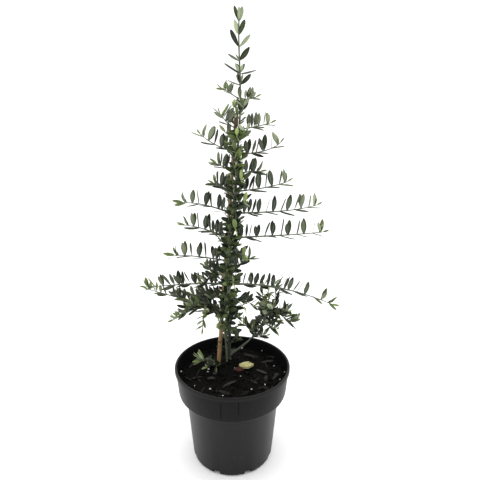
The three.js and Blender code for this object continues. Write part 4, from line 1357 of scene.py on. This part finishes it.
class OLIVE_OT_trunk(bpy.types.Operator):
    """Grow the trunk with its bark and the leaves of its leader"""

    bl_idname = "olive.trunk"
    bl_label = "Trunk"

    def execute(self, context):
        settings = context.scene.olive_foliage
        top, under, _ = foliage_finishes(settings)
        trunk = self.grow()
        coat(trunk, self.bark(settings))
        mark(trunk.data, tone=0.5, young=0.0)
        press = LeafPress(settings.blade, (top, under))
        leaves = [press.copy(leaf) for leaf in self.leader_leaves()]
        discard(press.models)
        dress(join("trunk_and_leader", [trunk, *leaves]), "bark", "trunk")
        return {"FINISHED"}

    @staticmethod
    def leader_leaves():
        for index, row in enumerate(LEADER_LEAVES):
            height, right, azimuth, elevation, length, curl, roll, young = row
            axis, face = climbing(heading(azimuth), UP, elevation)
            front = face.cross(axis)
            front = front if front.y < 0 else -front
            width = max(length * LEADER_LEAF_SLENDER, LEADER_LEAF_LEAST_WIDTH)
            yield Leaf(
                trunk_at(height) + Vector((right, 0, 0)), axis, swing(face, front, roll), length,
                width, curl, LEADER_SEEDS + index, young, 0)

    @staticmethod
    def grow():
        """The trunk, ring by ring up its line, with a flare at the soil and a swelling at each pair."""
        deselect()
        nodes = {row[0] for row in SIDE_BRANCHES}
        nodes |= {height for height, right, *_ in LEADER_LEAVES if right == 0}
        bpy.ops.mesh.primitive_circle_add(vertices=TRUNK_SIDES, radius=MM, fill_type="NGON")
        trunk = bpy.context.object
        with edit_mode():
            place, radius = Vector((0, 0, 0)), 1.0
            for ring in range(TRUNK_RINGS + 1):
                height = between(TRUNK_FOOT, TRUNK_TOP, ring / TRUNK_RINGS)
                near = min(abs(height - node) for node in nodes)
                wide = trunk_radius(height) * (1 + NODE_SWELL * math.exp(-(near / NODE_SPAN) ** 2))
                wide *= 1 + FLARE * math.exp(-max(0, height - SOIL_LEVEL - 3) / FLARE_SPAN)
                target = trunk_at(height)
                step = (target - place) * MM
                if ring:
                    bpy.ops.mesh.extrude_region_move(TRANSFORM_OT_translate={"value": step})
                else:
                    bpy.ops.transform.translate(value=step)
                scale = wide / radius
                bpy.ops.transform.resize(value=(scale, scale, 1), center_override=target * MM)
                place, radius = target, wide
            face_outwards()
        displace(trunk, "bark_lumps", 0.006, 0.35 * MM)
        apply_modifiers(trunk)
        smooth(trunk, 60)
        return trunk

    @staticmethod
    def bark(settings):
        finish = Finish("olive_bark", Specular_IOR_Level=0.25)
        fibre = finish.noise(700, 5, (1, 1, 0.15), 0.6)
        blotch = finish.noise(90, 4, (1, 1, 0.5))
        spots = finish.node(
            "ShaderNodeTexVoronoi", {}, {"Vector": finish.place, "Scale": 420.0}, "Distance")
        greener = finish.curve(blotch, (0.35, 0), (0.65, 1))
        colour = finish.mix(greener, settings.bark, (0.05, 0.06, 0.035))
        # Paler and greener up the trunk; the darker bark at the foot is painted shade
        colour = finish.mix(finish.rise(finish.axis("Z"), 0.2, 0.5) * 0.8, colour, (0.11, 0.125, 0.08))
        colour = finish.shade(colour, 0.6 + fibre * 0.8)
        colour = finish.mix((1 - finish.rise(spots, 0.12, 0.22)) * 0.5, colour, (0.2, 0.19, 0.15))
        finish.bump(fibre, 0.0004, 0.7)
        return finish.set(Base_Color=colour, Roughness=0.65 + fibre * 0.25)


class OLIVE_OT_shoots(bpy.types.Operator):
    """Grow every leafy shoot: side branches in pairs, inner shoots, low shoots and the bush"""

    bl_idname = "olive.shoots"
    bl_label = "Leafy shoots"

    def execute(self, context):
        finishes = [
            bpy.data.materials[name] for name in ("olive_leaf_top", "olive_leaf_under", "olive_stem")]
        press = LeafPress(context.scene.olive_foliage.blade, finishes[:2])
        for name, slot, shoots, nodes in self.groups():
            pieces = []
            for shoot in shoots:
                pieces.append(model_stem(shoot, finishes[2]))
                pieces += [press.copy(leaf) for leaf in shoot.leaves()]
            if name == "trunk_spurs":
                pieces += [press.copy(leaf) for leaf in column_leaves()]
            dress(join(name, pieces), slot, *nodes)
        discard(press.models)
        return {"FINISHED"}

    @staticmethod
    def groups():
        """Name, slot, shoots and replaced nodes of each piece."""
        pairs = named_rows("branch", ("left", "right"), SIDE_BRANCHES)
        sides = list(trunk_shoots(pairs, 1, SIDE_HABIT))
        inner_rows = named_rows("inner", ("front", "back"), INNER_SHOOTS)
        inner = list(trunk_shoots(inner_rows, 31, INNER_HABIT))
        low = list(trunk_shoots(LOW_SHOOTS, 61, LOW_HABIT))
        free = list(free_shoots())
        groups = [
            (f"branch_pair_{index // 2}", "foliage", sides[index:index + 2])
            for index in range(0, len(sides), 2)]
        groups += [
            ("inner_shoots_upper", "foliage_inner", inner[:UPPER_INNER_SHOOTS]),
            ("inner_shoots_lower", "foliage_inner", inner[UPPER_INNER_SHOOTS:]),
            ("low_shoots", "foliage", low),
            ("bushy_shoot", "foliage_young", free[:BUSH_SHOOTS]),
            ("base_shoots", "foliage_young", free[BUSH_SHOOTS:]),
        ]
        for name, slot, shoots in groups:
            yield name, slot, shoots, [shoot.name for shoot in shoots]
        spurs = [
            *trunk_shoots(spur_rows(), 301, SPUR_HABIT), *trunk_shoots(cover_rows(), 401, COVER_HABIT)]
        yield "trunk_spurs", "foliage_inner", [*spurs, *twigs(low + free)], []


class OLIVE_OT_studio(bpy.types.Operator):
    """Set up the pale floor, the soft studio light and the camera"""

    bl_idname = "olive.studio"
    bl_label = "Studio"

    # In metres. The lens is the focal length in pixels of a square picture and that picture's side.
    FLOOR_SIZE = 8
    CAMERA_PLACE, CAMERA_TILT = (0.011, -0.585, 0.510), 73
    FOCAL_PIXELS, PICTURE_PIXELS, SENSOR = 462, 480, 36

    def execute(self, context):
        settings = context.scene.olive_studio
        self.floor(settings)
        self.surroundings(context.scene, settings)
        self.light("left_softbox", (-1.5, -0.2, 0.9), (0, 0, 0.25), 1.6, settings.sides)
        self.light("right_softbox", (1.5, -0.2, 0.9), (0, 0, 0.25), 1.6, settings.sides)
        self.light("top_softbox", (0, 0.2, 2.0), (0, 0, 0.2), 1.8, settings.top)
        bpy.ops.object.camera_add(
            location=self.CAMERA_PLACE, rotation=(math.radians(self.CAMERA_TILT), 0, 0))
        camera = bpy.context.object
        camera.data.sensor_width = self.SENSOR
        camera.data.lens = self.SENSOR * self.FOCAL_PIXELS / self.PICTURE_PIXELS
        camera.data.clip_start = 0.02
        context.scene.camera = camera
        context.scene.view_settings.view_transform = "Standard"
        return {"FINISHED"}

    def floor(self, settings):
        deselect()
        bpy.ops.mesh.primitive_plane_add(size=self.FLOOR_SIZE)
        floor = bpy.context.object
        floor.name = "floor"
        finish = Finish("pale_floor", Roughness=0.9, Specular_IOR_Level=0.1)
        coat(floor, finish.set(Base_Color=finish.shade(settings.floor, 0.99 + finish.noise(3) * 0.02)))

    @staticmethod
    def surroundings(scene, settings):
        """A pale studio all round, brighter behind the plant than behind the camera."""
        world = bpy.data.worlds.new("pale_studio")
        scene.world = world
        world.use_nodes = True
        nodes = Nodes(world.node_tree, "Generated")
        towards = nodes.rise(nodes.axis("Y"), -0.75, 0.25, settings.camera_side, settings.backdrop)
        above = nodes.rise(nodes.axis("Z"), 0.45, 0.85, towards, settings.overhead)
        # The camera sees the backdrop's brightness all round
        seen = nodes.node("ShaderNodeLightPath", {}, {}, "Is Camera Ray")
        strength = nodes.node(
            "ShaderNodeMix", {}, {"Factor": seen, "A": above, "B": settings.backdrop}, "Result")
        background = world.node_tree.nodes["Background"]
        nodes.feed(background.inputs["Strength"], strength)
        nodes.feed(background.inputs["Color"], (1, 1, 1))

    @staticmethod
    def light(name, place, target, size, power):
        bpy.ops.object.light_add(type="AREA", location=place)
        light = bpy.context.object
        light.name = name
        light.data.shape = "DISK"
        light.data.size = size
        light.data.energy = power
        light.rotation_euler = (Vector(target) - Vector(place)).to_track_quat("-Z", "Y").to_euler()


SETTINGS = {
    "olive_pot": OlivePotSettings,
    "olive_soil": OliveSoilSettings,
    "olive_cane": OliveCaneSettings,
    "olive_foliage": OliveFoliageSettings,
    "olive_studio": OliveStudioSettings,
}
STEPS = (
    OLIVE_OT_pot, OLIVE_OT_soil, OLIVE_OT_wood_chips, OLIVE_OT_cane, OLIVE_OT_trunk, OLIVE_OT_shoots,
    OLIVE_OT_studio,
)


class OLIVE_PT_panel(bpy.types.Panel):
    """Lists the steps that build the potted olive tree"""

    bl_label = "Potted olive tree"
    bl_space_type = "VIEW_3D"
    bl_region_type = "UI"
    bl_category = "Olive"

    def draw(self, context):
        for operator in STEPS:
            self.layout.operator(operator.bl_idname)
        for group, settings in SETTINGS.items():
            box = self.layout.box()
            for name in settings.__annotations__:
                box.prop(getattr(context.scene, group), name)


def register():
    for group, settings in SETTINGS.items():
        bpy.utils.register_class(settings)
        setattr(bpy.types.Scene, group, PointerProperty(type=settings))
    for kind in (*STEPS, OLIVE_PT_panel):
        bpy.utils.register_class(kind)


def unregister():
    for kind in (OLIVE_PT_panel, *reversed(STEPS)):
        bpy.utils.unregister_class(kind)
    for group, settings in SETTINGS.items():
        delattr(bpy.types.Scene, group)
        bpy.utils.unregister_class(settings)


def main():
    register()
    for operator in STEPS:
        group, name = operator.bl_idname.split(".")
        if getattr(getattr(bpy.ops, group), name)() != {"FINISHED"}:
            raise RuntimeError(f"{operator.bl_label} wasn't finished")


if __name__ == "__main__":
    main()
